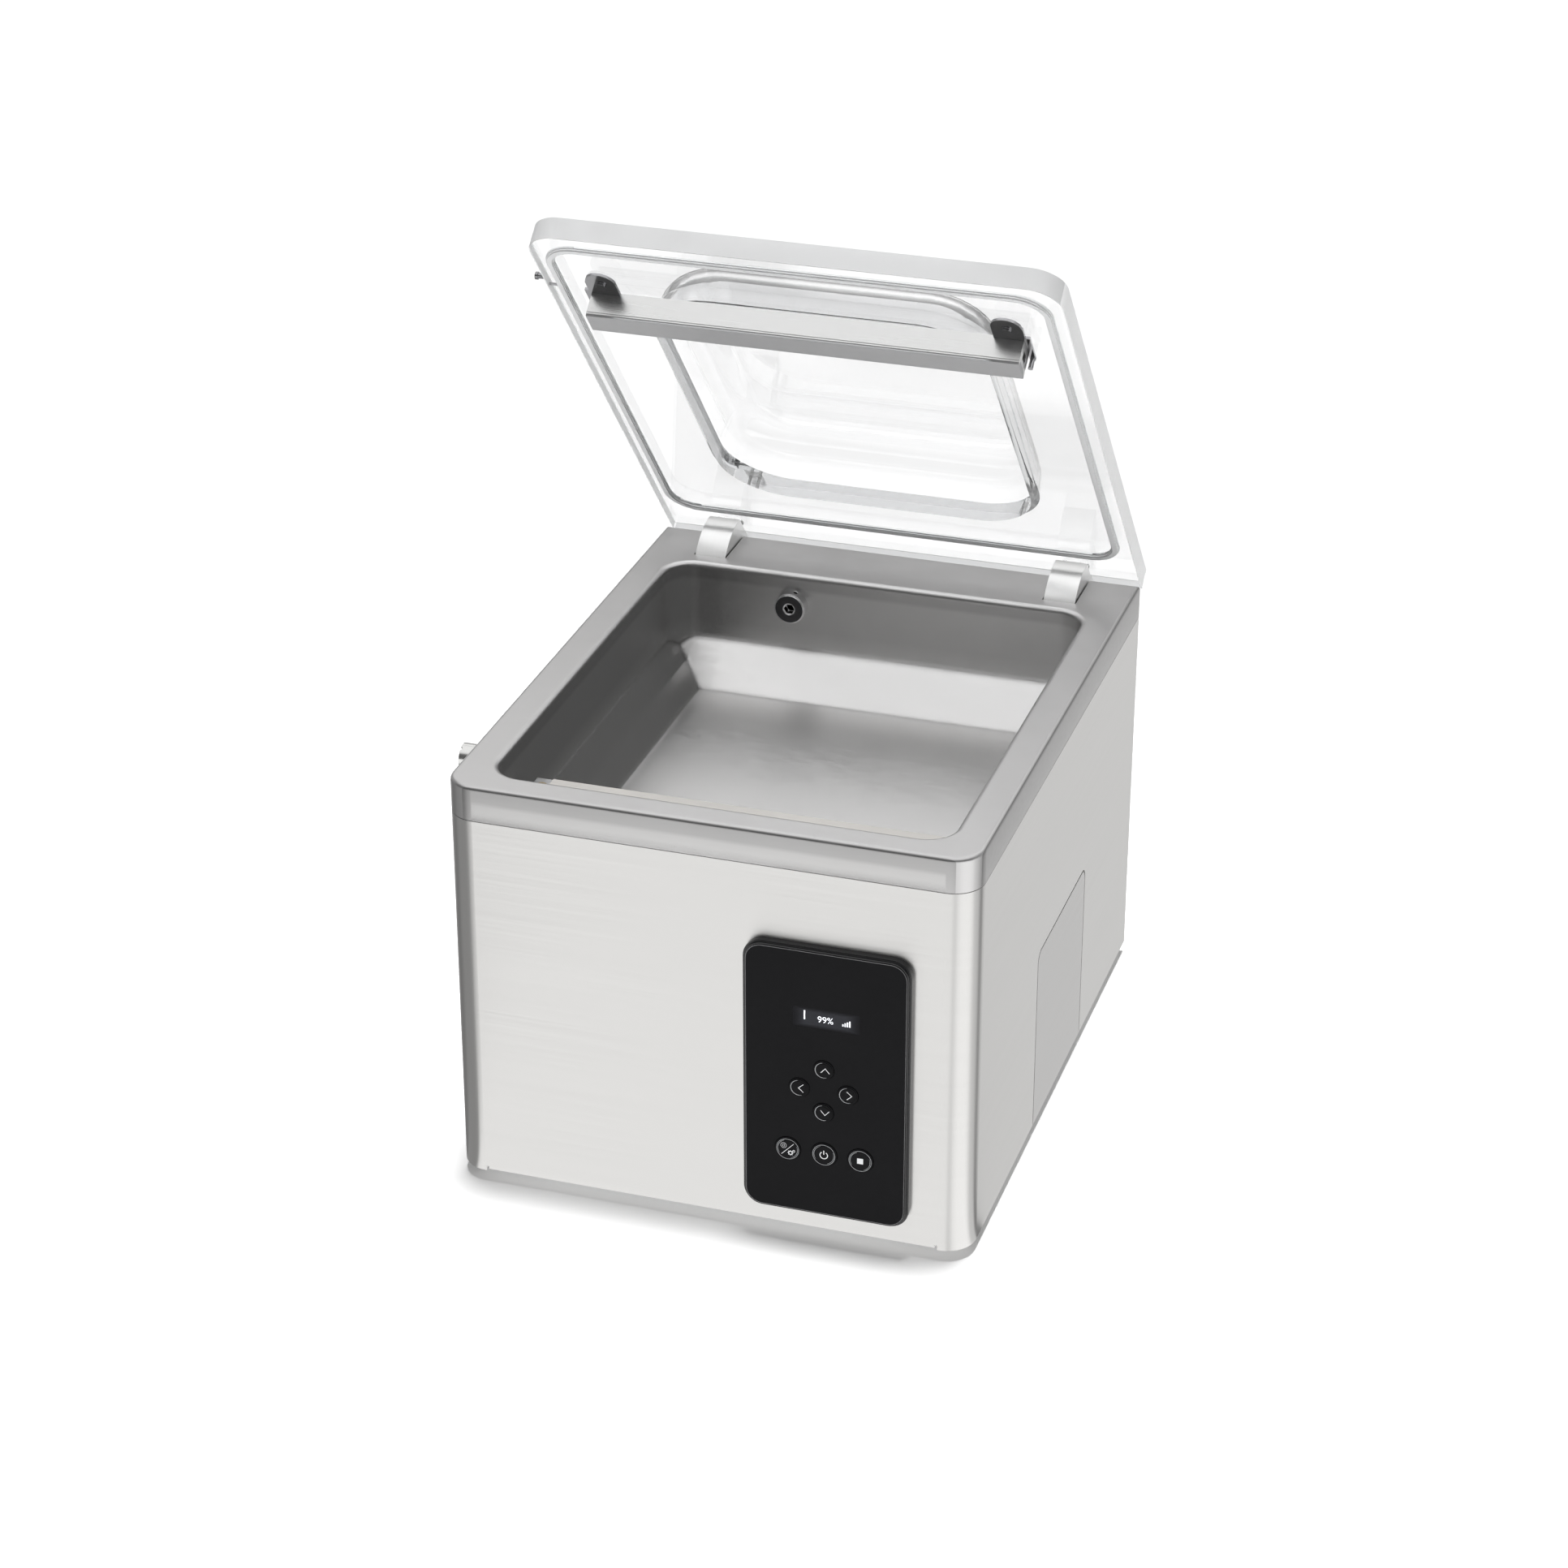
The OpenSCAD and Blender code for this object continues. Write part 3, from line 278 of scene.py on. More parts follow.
def port_chrome():
    """Dark turned face of the suction boss; the rim and a ring round the socket are polished
    metal painted bright, a painted highlight.
    """
    m = brushed("port_chrome", (0.10, 0.10, 0.105), 0.12, (300, 300, 300), spread=0.02,
                depth=0.001, edge=0.7)
    x, y, z = m.axes()
    radius = m.distance(m.maths("SUBTRACT", x, PORT_X), m.maths("SUBTRACT", z, PORT_Z))
    # painted highlight: the rim and a ring round the socket are polished metal painted bright
    polished = m.maths("ADD", m.maths("GREATER_THAN", radius, 10.0 * MM),
                       m.window(radius, 3.3 * MM, 4.5 * MM, 0.1 * MM))
    m.set(Base_Color=m.blend(polished, m.finish(), (0.85, 0.85, 0.855)))
    return m


def cast(name, rgb, rough, metallic=0.9, grit=500.0, depth=0.05, dark=0.75, edge=0.6):
    """Cast or sintered metal, or crackle paint: a pebbled surface with darker stains at random.
    """
    m = Material(name, Metallic=metallic)
    pebbles = m.noise(scale=grit, detail=4, roughness=0.6)
    stain = m.noise(scale=14, detail=5, roughness=0.6)
    m.set(Base_Color=m.blend(m.span(stain, 0.35, 0.7, 0.0, 1.0), shade(rgb, dark), rgb))
    m.set(Roughness=m.span(pebbles, 0.3, 0.7, rough - 0.08, rough + 0.08))
    m.set(Normal=m.bump(pebbles, depth * MM, m.rounded(edge * MM)))
    return m


def moulded(name, rgb, rough, grit=900.0, depth=0.02, shine=0.5, edge=0.4, mottle=0.12):
    """Moulded plastic or rubber with a spark-eroded skin."""
    m = Material(name)
    skin = m.noise(scale=grit, detail=2)
    haze = m.noise(scale=22, detail=3)
    m.set(Base_Color=m.blend(haze, shade(rgb, 1 - mottle), shade(rgb, 1 + mottle)))
    m.set(Roughness=m.span(haze, 0.3, 0.7, rough - 0.05, rough + 0.05))
    m.set(Normal=m.bump(skin, depth * MM, m.rounded(edge * MM)), Specular_IOR_Level=shine)
    return m


def closed_lid_place(m):
    """A place on the open lid, turned back to where it is with the lid shut."""
    node = m.add("VectorRotate", rotation_type="X_AXIS")
    m.join(m.place, node.inputs["Vector"])
    node.inputs["Angle"].default_value = OPEN_ANGLE
    node.inputs["Center"].default_value = (0, HINGE_Y, HINGE_Z)
    return node.outputs[0]


def footprint(m, x, y, reach, soft):
    """1 inside a rectangle in plan, given as its half width, front and back."""
    half_x, front, back = reach
    return m.maths("MULTIPLY", m.window(x, -half_x, half_x, soft), m.window(y, front, back, soft))


def acrylic():
    """Clear cast acrylic, with satin edges where the sheet was milled, painted shade on the
    milled edges of the two sides and on the dome's curved parts.
    """
    m = Material("clear_acrylic", IOR=1.49)
    place = closed_lid_place(m)
    x, y, z = m.axes(place)
    out_x = m.beyond(x, LID_HALF_X)
    out_front = m.maths("SUBTRACT", LID_FRONT_Y, y)
    out_back = m.maths("SUBTRACT", y, LID_BACK_Y)
    corner_x = m.maths("MAXIMUM", m.beyond(x, LID_CORNER_X), 0.0)
    corner_y = m.maths("MAXIMUM", m.maths("SUBTRACT", LID_CORNER_Y, y), 0.0)
    out_corner = m.maths("SUBTRACT", m.distance(corner_x, corner_y), LID_CORNER_R)
    out = m.maths("MAXIMUM", m.maths("MAXIMUM", out_x, out_front),
                  m.maths("MAXIMUM", out_back, out_corner))
    edge = m.maths("GREATER_THAN", out, 0.0)
    cutter = m.noise(m.stretch((900, 900, 30), place), detail=2)
    haze = m.noise(scale=18, detail=4)
    # painted shade: the dome's mouth and wall are tinted darker, standing in for the shade that
    # the bent light shows there
    mouth = m.maths("MULTIPLY", m.window(z, *MOUTH_RISE, 0.6 * MM),
                    footprint(m, x, y, DOME_REACH, 1 * MM))
    wall = m.window(z, *WALL_RISE, 3 * MM)
    tint = m.maths("SUBTRACT", m.maths("SUBTRACT", 0.962, m.maths("MULTIPLY", mouth, 0.03)),
                   m.maths("MULTIPLY", wall, 0.07))
    # painted shade: the milled edges on the two sides are greyer than those at the front and the
    # back
    sides = m.maths("GREATER_THAN", out_x, -0.5 * MM)
    milled = m.blend(sides, (0.53, 0.533, 0.536), (0.80, 0.803, 0.806))
    m.set(Base_Color=m.blend(edge, m.grey(tint), milled))
    m.set(Transmission_Weight=m.span(edge, 0.0, 1.0, 1.0, 0.15))
    m.set(Roughness=m.maths("MULTIPLY", edge, m.span(cutter, 0.3, 0.7, 0.32, 0.46)))
    m.set(Normal=m.bump(m.maths("MULTIPLY", haze, m.maths("SUBTRACT", 1.0, edge)), 0.04 * MM))
    # the soft gasket wets the walls of its groove, so light goes straight on there
    groove = m.maths("MULTIPLY",
                     m.maths("SUBTRACT", footprint(m, x, y, GROOVE_OUTSIDE, 0.3 * MM),
                             footprint(m, x, y, GROOVE_INSIDE, 0.3 * MM)),
                     m.window(z, *GROOVE_RISE, 0.05 * MM))
    # a mirrored view that has bent often enough goes straight on, and so do lamps,
    # so that the lid leaves only a light shadow
    rays = m.add("LightPath")
    straight = m.maths("MAXIMUM", m.maths("GREATER_THAN", groove, 0.5),
                       m.maths("GREATER_THAN", rays.outputs["Glossy Depth"], 2.5))
    lamps = m.maths("MAXIMUM", rays.outputs["Is Shadow Ray"], rays.outputs["Is Diffuse Ray"])
    m.let_through(m.maths("MAXIMUM", straight, lamps), (0.95, 0.955, 0.957))
    return m


def silicone(name, rgb, see_through):
    """Soft rubber with a faint bloom. Also does for the tinted glass of the oil gauge."""
    m = Material(name, Transmission_Weight=see_through, IOR=1.41)
    skin = m.noise(scale=700, detail=2)
    haze = m.noise(scale=30, detail=3)
    m.set(Base_Color=m.blend(haze, shade(rgb, 0.96), rgb))
    m.set(Roughness=m.span(haze, 0.3, 0.7, 0.36, 0.5))
    m.set(Normal=m.bump(skin, 0.015 * MM, m.rounded(0.5 * MM)))
    return m


def display():
    """Smoked window: a faint glow round the middle of the display."""
    m = Material("display_smoke", Roughness=0.16, Specular_IOR_Level=0.06)
    x, y, z = m.axes()
    across = m.maths("ABSOLUTE", m.maths("SUBTRACT", x, DISPLAY_X * MM))
    up = m.maths("ABSOLUTE", m.maths("SUBTRACT", z, DISPLAY_Z * MM))
    edge = m.maths("MAXIMUM", m.maths("DIVIDE", across, 22 * MM), m.maths("DIVIDE", up, 7 * MM))
    dots = m.dots(2400)
    glow = m.maths("MULTIPLY", m.span(edge, 1.0, 0.55, 0.0, 1.0, smooth=True),
                   m.span(dots, 0.0, 0.6, 1.0, 0.8))
    m.set(Base_Color=m.blend(glow, (0.012, 0.012, 0.014), (0.035, 0.036, 0.042)))
    m.set(Emission_Color=(0.5, 0.52, 0.6), Emission_Strength=m.maths("MULTIPLY", glow, 0.012))
    return m


HORIZONTAL = (5, 5, 1100)
MATERIALS = {m.name: m for m in (
    brushed("housing_steel", (0.66, 0.655, 0.645), 0.33, HORIZONTAL, spread=0.05, depth=0.006,
            clouds=0.022, cloud_scale=5, anisotropy=0.8),
    brushed("rear_steel", (0.62, 0.615, 0.61), 0.36, HORIZONTAL, depth=0.006, anisotropy=0.8),
    deck(),
    port_chrome(),
    brushed("cover_steel", (0.575, 0.57, 0.565), 0.33, HORIZONTAL, spread=0.05, depth=0.006,
            clouds=0.022, cloud_scale=5, anisotropy=0.8),
    cast("zinc_steel", (0.62, 0.64, 0.66), 0.42, metallic=1.0, grit=90, depth=0.01, dark=0.85),
    brushed("screw_steel", (0.72, 0.72, 0.71), 0.25, (700, 700, 700), spread=0.04, depth=0.003,
            edge=0.2),
    moulded("foot_rubber", (0.03, 0.03, 0.032), 0.7, mottle=0.2),
    moulded("panel_black", (0.010, 0.010, 0.011), 0.2, grit=500, depth=0.002, edge=0.9,
            shine=0.6),
    moulded("panel_gloss", (0.009, 0.009, 0.01), 0.12, grit=300, depth=0.001, edge=0.3,
            shine=0.06),
    display(),
    moulded("key_black", (0.009, 0.009, 0.01), 0.15, grit=300, depth=0.001, edge=0.2, shine=0.06),
    moulded("board_green", (0.02, 0.13, 0.05), 0.4, grit=200, depth=0.05),
    acrylic(),
    silicone("gasket_silicone", (0.64, 0.645, 0.65), 0.0),
    brushed("arm_aluminium", (0.74, 0.74, 0.735), 0.34, (900, 30, 30), depth=0.006, edge=0.35),
    brushed("shaft_steel", (0.68, 0.68, 0.67), 0.2, (900, 20, 20), depth=0.004),
    cast("bronze", (0.62, 0.40, 0.19), 0.35, metallic=1.0, grit=1200, depth=0.02),
    brushed("spring_steel", (0.5, 0.5, 0.5), 0.3, (1400, 10, 10), depth=0.08),
    moulded("switch_black", (0.03, 0.03, 0.032), 0.5),
    brushed("bar_aluminium", (0.62, 0.62, 0.615), 0.3, (12, 1300, 1300), depth=0.006, clouds=0.03,
            edge=0.3),
    silicone("bar_silicone", (0.34, 0.34, 0.345), 0.0),
    brushed("dark_chrome", (0.34, 0.34, 0.35), 0.16, (300, 300, 300), spread=0.03, depth=0.002,
            edge=0.4),
    brushed("seal_aluminium", (0.66, 0.665, 0.67), 0.34, (12, 1300, 1300)),
    brushed("heater_brass", (0.70, 0.55, 0.33), 0.3, (900, 900, 900), depth=0.004, edge=0.2),
    moulded("ptfe_tape", (0.33, 0.32, 0.305), 0.5, grit=1600, depth=0.05, mottle=0.15, edge=0.2),
    brushed("cylinder_aluminium", (0.68, 0.69, 0.70), 0.32, (20, 20, 1200)),
    brushed("brass", (0.72, 0.56, 0.30), 0.3, (400, 400, 400), depth=0.004),
    moulded("hose_rubber", (0.035, 0.035, 0.037), 0.55, grit=1200, depth=0.04),
    cast("skid_black", (0.05, 0.05, 0.055), 0.5, metallic=0.2, grit=900),
    cast("pump_grey", (0.30, 0.32, 0.34), 0.5, metallic=0.3, grit=260, depth=0.12),
    silicone("sight_glass", (0.85, 0.72, 0.36), 0.6),
    moulded("filter_black", (0.045, 0.047, 0.05), 0.45, grit=500, depth=0.05),
    cast("pump_iron", (0.34, 0.35, 0.37), 0.48, metallic=0.8, grit=300, depth=0.1),
    brushed("rotor_steel", (0.62, 0.62, 0.63), 0.26, (1200, 30, 30)),
    cast("motor_black", (0.05, 0.055, 0.06), 0.45, metallic=0.3, grit=700, depth=0.04),
    brushed("transformer_iron", (0.22, 0.22, 0.23), 0.45, (1500, 10, 10), depth=0.1),
    moulded("inlet_black", (0.025, 0.025, 0.027), 0.42, grit=800),
    moulded("rocker_black", (0.02, 0.02, 0.022), 0.28, grit=500, depth=0.006),
    moulded("fan_black", (0.03, 0.03, 0.033), 0.42, grit=600),
    brushed("guard_chrome", (0.72, 0.72, 0.73), 0.14, (300, 300, 300), spread=0.03, depth=0.002),
)}

# nodes whose finish isn't that of their slot in the record
OWN_FINISH = {"service_cover": "cover_steel", "lid_stud": "dark_chrome",
              "latch_hook": "shaft_steel", "vacuum_port": "port_chrome"}


def dress_cad():
    """Each CAD node gets the finish named like its slot."""
    for node_name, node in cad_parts.items():
        for slot in node.material_slots:
            name = OWN_FINISH.get(node_name, slot.material.name.split(".")[0])
            slot.material = MATERIALS[name].data


# ---- marks on the panel -----------------------------------------------------


def print_and_highlight_finish(name, rgb, glow):
    """Silk-screen ink, which glows a little where a lamp stands behind it; the same finish draws
    painted highlights on the panel and the keys.
    """
    m = Material(name, Roughness=0.35)
    grain = m.noise(scale=2500, detail=2)
    m.set(Base_Color=m.blend(grain, shade(rgb, 0.9), rgb), Emission_Color=rgb,
          Emission_Strength=m.span(grain, 0.3, 0.7, glow * 0.9, glow))
    m.set(Normal=m.bump(grain, 0.004 * MM))
    return m


class Marks:
    """Thin raised prints and painted highlights on the front of a panel, drawn in millimetres in
    X and Z.
    """

    def __init__(self, y, thick=0.06):
        self.near, self.far = (y - thick * MM), (y + 0.02 * MM)
        self.points, self.faces = [], []

    def ribbon(self, path, width, closed=False, widths=None):
        """A flat line along the path, mitred at its bends; widths gives one for each point."""
        n = len(path)
        start = len(self.points)
        for i, (x, z) in enumerate(path):
            before = path[i - 1] if i or closed else path[i]
            after = path[(i + 1) % n] if i < n - 1 or closed else path[i]
            dx0, dz0 = x - before[0], z - before[1]
            dx1, dz1 = after[0] - x, after[1] - z
            l0, l1 = math.hypot(dx0, dz0) or 1, math.hypot(dx1, dz1) or 1
            tx, tz = dx0 / l0 + dx1 / l1, dz0 / l0 + dz1 / l1
            length = math.hypot(tx, tz) or 1
            nx, nz = -tz / length, tx / length
            ends = dx0 == dz0 == 0 or dx1 == dz1 == 0
            lean = 1 if ends else max(0.5, abs(nx * -dz0 / l0 + nz * dx0 / l0))
            half = (widths[i] if widths else width) / 2 / lean
            for side, y in ((1, self.near), (-1, self.near), (-1, self.far), (1, self.far)):
                self.points.append(((x + side * nx * half) * MM, y, (z + side * nz * half) * MM))
        for i in range(n if closed else n - 1):
            a, b = start + 4 * i, start + 4 * ((i + 1) % n)
            for k in range(4):
                j = (k + 1) % 4
                self.faces.append((a + k, a + j, b + j, b + k))
        if not closed:
            self.faces.append(tuple(start + k for k in (3, 2, 1, 0)))
            self.faces.append(tuple(start + 4 * (n - 1) + k for k in range(4)))

    def plate(self, outline):
        """A flat patch inside the outline, anticlockwise."""
        start, n = len(self.points), len(outline)
        self.points += [(x * MM, self.near, z * MM) for x, z in outline]
        self.points += [(x * MM, self.far, z * MM) for x, z in outline]
        self.faces.append(tuple(range(start, start + n)))
        self.faces.append(tuple(range(start + 2 * n - 1, start + n - 1, -1)))
        for i in range(n):
            j = (i + 1) % n
            self.faces.append((start + i, start + n + i, start + n + j, start + j))

    def piece(self, name, body, material):
        mesh = bpy.data.meshes.new(name)
        mesh.from_pydata(self.points, [], self.faces)
        mesh.validate()
        add_print(name, mesh, body, material)


ARC_STEPS = 40


def arc(x, z, r, start, end, steps=ARC_STEPS):
    """Points round x, z, between two angles in degrees."""
    return [(x + r * math.cos(math.radians(start + (end - start) * i / steps)),
             z + r * math.sin(math.radians(start + (end - start) * i / steps)))
            for i in range(steps + 1)]


def circle(x, z, r, steps=48):
    return arc(x, z, r, 0, 360, steps)[:-1]


def tapered_arc(marks, x, z, r, start, end, width, tail=0.25):
    """An arc that thins out towards both ends."""
    widths = [width * (tail + (1 - tail) * math.sin(math.pi * i / ARC_STEPS) ** 0.6)
              for i in range(ARC_STEPS + 1)]
    marks.ribbon(arc(x, z, r, start, end), width, widths=widths)


def gear(marks, x, z, r, teeth):
    """A toothed wheel."""
    marks.ribbon(circle(x, z, r, 28), r * 0.5, closed=True)
    for i in range(teeth):
        a = 2 * math.pi * i / teeth
        marks.ribbon([(x + r * 1.1 * math.cos(a), z + r * 1.1 * math.sin(a)),
                      (x + r * 1.55 * math.cos(a), z + r * 1.55 * math.sin(a))], r * 0.42)


def rounded_outline(x, z, half_x, half_z, r, steps=10):
    """The points of a rounded rectangle, anticlockwise."""
    points = []
    for side_x, side_z, start in ((1, 1, 0), (-1, 1, 90), (-1, -1, 180), (1, -1, 270)):
        points += arc(x + side_x * (half_x - r), z + side_z * (half_z - r), r,
                      start, start + 90, steps)
    return points


def panel_lines(grey):
    """A painted highlight a hair wide: a grey line that stands for the glint on the edge of the
    panel film.
    """
    inset = 2.5
    lines = Marks(FACE_Y)
    lines.ribbon(rounded_outline(PANEL_X, PANEL_Z, PANEL_W / 2 - inset, PANEL_H / 2 - inset,
                                 10.7), 0.35, closed=True)
    lines.piece("panel_edge_highlight", "cabinet", grey)


def arrow_marks(white, grey):
    """A part ring, which is a painted highlight on the key's embossed ring, and an arrow on each
    of the four arrow keys.
    """
    arrow = [(-1.8, 2.9), (1.5, 0.0), (-1.8, -2.9)]
    aside = 1.2
    for name, x, z, turn in ARROW_KEYS:
        ring = Marks(KEY_FACE_Y)
        # painted highlight: a grey arc on the key's embossed ring
        tapered_arc(ring, x, z, 5.35, 96, 292, 0.5)
        ring.piece("ring_" + name, "button_" + name, grey)
        tip = math.radians(turn)
        cos, sin = math.cos(tip), math.sin(tip)
        mark = Marks(KEY_FACE_Y)
        mark.ribbon([(x + aside + u * cos - v * sin, z + u * sin + v * cos) for u, v in arrow],
                    0.4)
        mark.piece("arrow_" + name, "button_" + name, white)


def mode_icon(mark, x, z):
    """Two gears, and a pouch in a ring, with a stroke between them."""
    mark.ribbon([(x - 4.1, z - 4.3), (x + 4.1, z + 4.3)], 0.35)
    gear(mark, x + 1.9, z - 2.6, 1.2, 8)
    gear(mark, x + 4.1, z - 1.0, 0.65, 6)
    mark.ribbon(circle(x - 2.7, z + 2.3, 1.9, 30), 0.2, closed=True)
    mark.ribbon([(x - 3.4, z + 1.6), (x - 2.0, z + 1.6), (x - 2.0, z + 3.0),
                 (x - 3.4, z + 3.0)], 0.18, closed=True)


def power_icon(mark, x, z):
    mark.ribbon(arc(x, z - 0.2, 2.5, 125, 415), 0.6)
    mark.ribbon([(x, z + 0.3), (x, z + 3.2)], 0.6)


def stop_icon(mark, x, z):
    mark.plate([(x - 2, z - 2), (x + 2, z - 2), (x + 2, z + 2), (x - 2, z + 2)])


def function_marks(white, grey):
    """A thin grey ring, two arcs that are painted highlights on the embossed ring, and an icon on
    each of the three round keys.
    """
    icons = {"mode": mode_icon, "power": power_icon, "stop": stop_icon}
    for name, x, z in FUNCTION_KEYS:
        ring = Marks(KEY_FACE_Y)
        ring.ribbon(circle(x, z, 7.35), 0.32, closed=True)
        # painted highlights: two grey arcs on the key's embossed ring
        tapered_arc(ring, x, z, 6.55, 110, 215, 0.34)
        tapered_arc(ring, x, z, 6.55, 290, 385, 0.26)
        ring.piece("ring_" + name, "button_" + name, grey)
        mark = Marks(KEY_FACE_Y)
        icons[name](mark, x, z)
        mark.piece("icon_" + name, "button_" + name, white)


def add_print(name, mesh, body, material):
    mesh.materials.clear()
    mesh.materials.append(material.data)
    piece = bpy.data.objects.new(name, mesh)
    bpy.context.collection.objects.link(piece)
    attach(piece, body)


def digits(name, text, x, z, size, material):
    """Numbers on the display, size millimetres high."""
    curve = bpy.data.curves.new(name, "FONT")
    curve.body = text
    curve.size = size * MM
    curve.extrude = 0.03 * MM
    curve.align_x = "CENTER"
    curve.align_y = "CENTER"
    shape = bpy.data.objects.new(name + "_type", curve)
    bpy.context.collection.objects.link(shape)
    shape.rotation_euler = (math.pi / 2, 0, 0)
    shape.location = (x * MM, FACE_Y - 0.01 * MM, z * MM)
    bpy.context.view_layer.update()
    mesh = bpy.data.meshes.new_from_object(shape)
    mesh.transform(shape.matrix_world)
    bpy.data.objects.remove(shape)
    mesh.name = name
    add_print(name, mesh, "cabinet", material)


def display_marks(lit):
    """A programme number, a percentage and a gauge of four bars."""
    digits("digit_program", "1", 67.5, 170.2, 9.5, lit)
    digits("digits_vacuum", "99%", 81.2, 168.6, 6.3, lit)
    bars = Marks(FACE_Y, 0.04)
    bottom, width = 166.5, 0.9
    for i in range(4):
        left, height = 92.2 + 1.5 * i, 1.6 + 0.9 * i
        bars.plate([(left, bottom), (left + width, bottom), (left + width, bottom + height),
                    (left, bottom + height)])
    bars.piece("gauge_bars", "cabinet", lit)


# ---- studio -----------------------------------------------------------------

def plane(name, material, corners):
    """A stage piece with four corners."""
    mesh = bpy.data.meshes.new(name)
    mesh.from_pydata(corners, [], [(0, 1, 2, 3)])
    mesh.materials.append(material.data)
    piece = bpy.data.objects.new(name, mesh)
    bpy.context.collection.objects.link(piece)
    return piece


def level_plane(name, material, size, z):
    return plane(name, material,
                 [(-size, -size, z), (size, -size, z), (size, size, z), (-size, size, z)])


def only_mirrored(piece, through=False):
    """Only shiny surfaces see the piece, and clear ones if asked."""
    piece.visible_camera = False
    piece.visible_diffuse = False
    piece.visible_transmission = through
    piece.visible_shadow = False


def glowing(name, level=1.0):
    return Material(name, Base_Color=(0, 0, 0), Roughness=1.0, Specular_IOR_Level=0.0,
                    Emission_Color=(1, 0.998, 0.993), Emission_Strength=level)


def floor():
    """White paper, a little greyer far behind, where only the lid shows it."""
    m = Material("studio_floor", Roughness=0.9)
    x, y, z = m.axes()
    dust = m.noise(scale=3, detail=2)
    far = m.span(y, 0.3, 0.75, 0.0, 1.0, smooth=True)
    near = m.blend(dust, (PAPER,) * 3, (PAPER + 0.01,) * 3)
    m.set(Base_Color=m.blend(far, near, (FAR_PAPER,) * 3))
    level_plane("studio_floor", m, 14.0, 0.0).visible_glossy = False


def dark_flags():
    """Flags, clear from their backs, that only the left wall of the chamber mirrors: dark sheets
    inside the chamber that paint shade on that wall.
    """
    m = glowing("dark_flag", FLAG_LEVEL)
    m.let_through(m.add("NewGeometry").outputs["Backfacing"])
    front, back, high = -0.185, 0.155, 0.297
    for i, (x, low) in enumerate(((-0.136, 0.222), (-0.114, 0.209))):
        only_mirrored(plane("dark_flag_%d" % i, m, [(x, back, low), (x, front, low),
                                                    (x, front, high), (x, back, high)]))


def angle_round(m, x, y, at_x, at_y, turn):
    """Angle in degrees of a floor point round a corner of the cabinet, 0 towards turn."""
    dx, dy = m.maths("SUBTRACT", x, at_x), m.maths("SUBTRACT", y, at_y)
    c, s = math.cos(math.radians(turn)), math.sin(math.radians(turn))
    along = m.maths("ADD", m.maths("MULTIPLY", dx, c), m.maths("MULTIPLY", dy, s))
    aside = m.maths("SUBTRACT", m.maths("MULTIPLY", dy, c), m.maths("MULTIPLY", dx, s))
    return m.maths("MULTIPLY", m.maths("ARCTAN2", aside, along), 180 / math.pi)


def reflected_floor():
    """What the polished sides mirror: white paper in front, grey to the right, dark flags."""
    m = glowing("reflected_floor")
    x, y, z = m.axes()
    corner_x, corner_y = 0.155, -0.195
    right = angle_round(m, x, y, corner_x, corner_y, 0)
    left = angle_round(m, x, y, -corner_x, corner_y, 180)
    level = m.span(right, -12, 8, FRONT_LEVEL, SIDE_LEVEL, smooth=True)
    # each fan of paper: the corner it spreads from, its angles, and what it does to the level
    for angle, low, high, soft, share in ((right, 28, 48, 5, 0.30), (right, -52, 2, 8, 1.12),
                                          (right, -76, -62, 4, 0.80), (left, -40, 55, 6, 0.27)):
        fan = m.window(angle, low, high, soft)
        level = m.maths("MULTIPLY", level, m.span(fan, 0, 1, 1, share))
    m.set(Emission_Strength=level)
    only_mirrored(level_plane("reflected_floor", m, 9.0, 0.5 * MM))


def rear_card():
    """A lit card behind, which the deck, the chamber and the lid show."""
    m = glowing("rear_card", CARD_LEVEL)
    x, y, z = m.axes()
    m.set(Emission_Strength=m.span(z, 0.62, 0.92, 0.32, CARD_LEVEL))
    left, right, y, low, high = -1.5, 0.9, 0.95, 0.35, 1.4
    only_mirrored(plane("rear_card", m, [(left, y, low), (right, y, low), (right, y, high),
                                         (left, y, high)]), through=True)


def key_lamp():
    """A big soft lamp high behind, which nothing mirrors."""
    place, aim = Vector((0.03, 0.15, 2.2)), Vector((0, 0, 0.1))
    data = bpy.data.lights.new("key", "SUN")
    data.energy = 4.4
    data.angle = math.radians(11)
    light = bpy.data.objects.new("key", data)
    light.location = place
    light.rotation_euler = (aim - place).to_track_quat("-Z", "Y").to_euler()
    light.visible_glossy = False
    light.visible_transmission = False
    bpy.context.collection.objects.link(light)


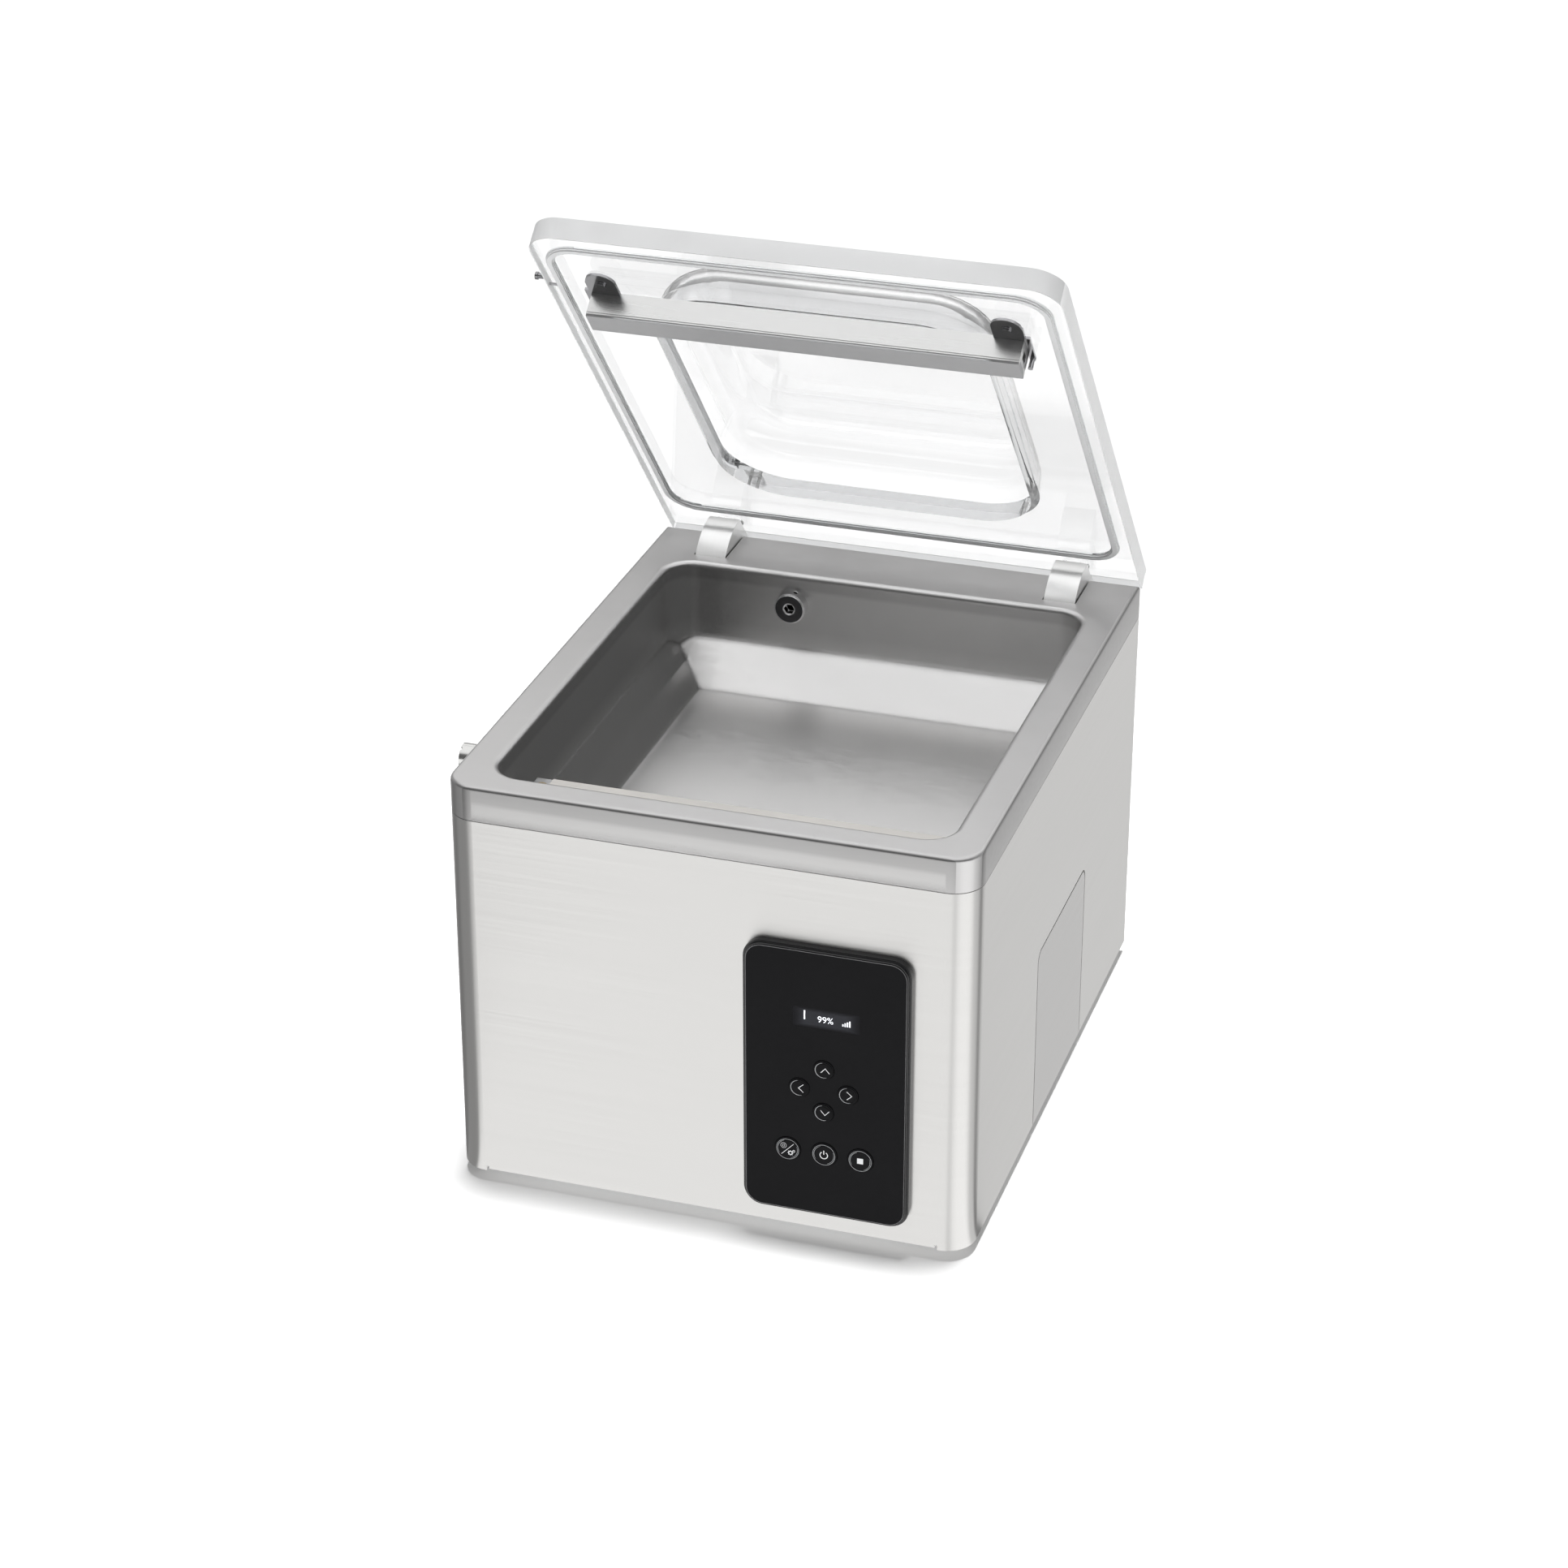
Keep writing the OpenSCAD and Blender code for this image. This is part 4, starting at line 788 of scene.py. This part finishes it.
def sky():
    """Even light for the floor; shiny surfaces see a bright top and darker walls."""
    world = bpy.data.worlds.new("studio")
    world.use_nodes = True
    tree = world.node_tree
    tree.nodes.clear()

    def add(kind):
        return tree.nodes.new("ShaderNode" + kind)

    def join(source, target):
        if hasattr(source, "is_output"):
            tree.links.new(source, target)
        else:
            target.default_value = source

    def span(value, low, high, to_low, to_high):
        node = add("MapRange")
        node.interpolation_type = "SMOOTHSTEP"
        for i, v in enumerate((value, low, high, to_low, to_high)):
            join(v, node.inputs[i])
        return node.outputs[0]

    def glow(strength):
        node = add("Background")
        join((1, 1, 1, 1), node.inputs[0])
        join(strength, node.inputs[1])
        return node.outputs[0]

    def mixed(amount, a, b):
        node = add("MixShader")
        for i, v in enumerate((amount, a, b)):
            join(v, node.inputs[i])
        return node.outputs[0]

    direction = add("SeparateXYZ")
    join(add("TexCoord").outputs["Generated"], direction.inputs[0])
    x, y, z = direction.outputs
    mirrored = span(z, 0.56, 0.82, span(y, -0.6, 0.6, SKY_FRONT, SKY_BACK), SKY_TOP)
    through = span(z, 0.35, 0.75, SKY_THROUGH, TOP_THROUGH)
    rays = add("LightPath").outputs
    # a ray bent by the lid can count as mirrored too, so what it sees is chosen last
    seen = mixed(rays["Is Glossy Ray"], glow(SKY_EVEN), glow(mirrored))
    seen = mixed(rays["Is Transmission Ray"], seen, glow(through))
    join(seen, add("OutputWorld").inputs[0])
    bpy.context.scene.world = world


def studio():
    sky()
    floor()
    reflected_floor()
    dark_flags()
    rear_card()
    key_lamp()


# ---- the whole --------------------------------------------------------------

bpy.context.scene.view_settings.view_transform = "Standard"
make_camera()
dress_cad()
# painted highlight: the grey line round the edge of the panel film
painted_edge_highlight = print_and_highlight_finish("painted_edge_highlight", (0.16, 0.16, 0.165), 0.0)
panel_print = print_and_highlight_finish("panel_print", (0.78, 0.79, 0.80), 0.12)
# painted highlights: grey arcs on the keys' embossed rings; the same finish draws the thin grey
# full rings of the round keys
ring_print = print_and_highlight_finish("ring_print", (0.34, 0.35, 0.36), 0.02)
lit_print = print_and_highlight_finish("lit_print", (0.88, 0.90, 0.95), 0.75)
panel_lines(painted_edge_highlight)
arrow_marks(panel_print, ring_print)
function_marks(panel_print, ring_print)
display_marks(lit_print)
studio()
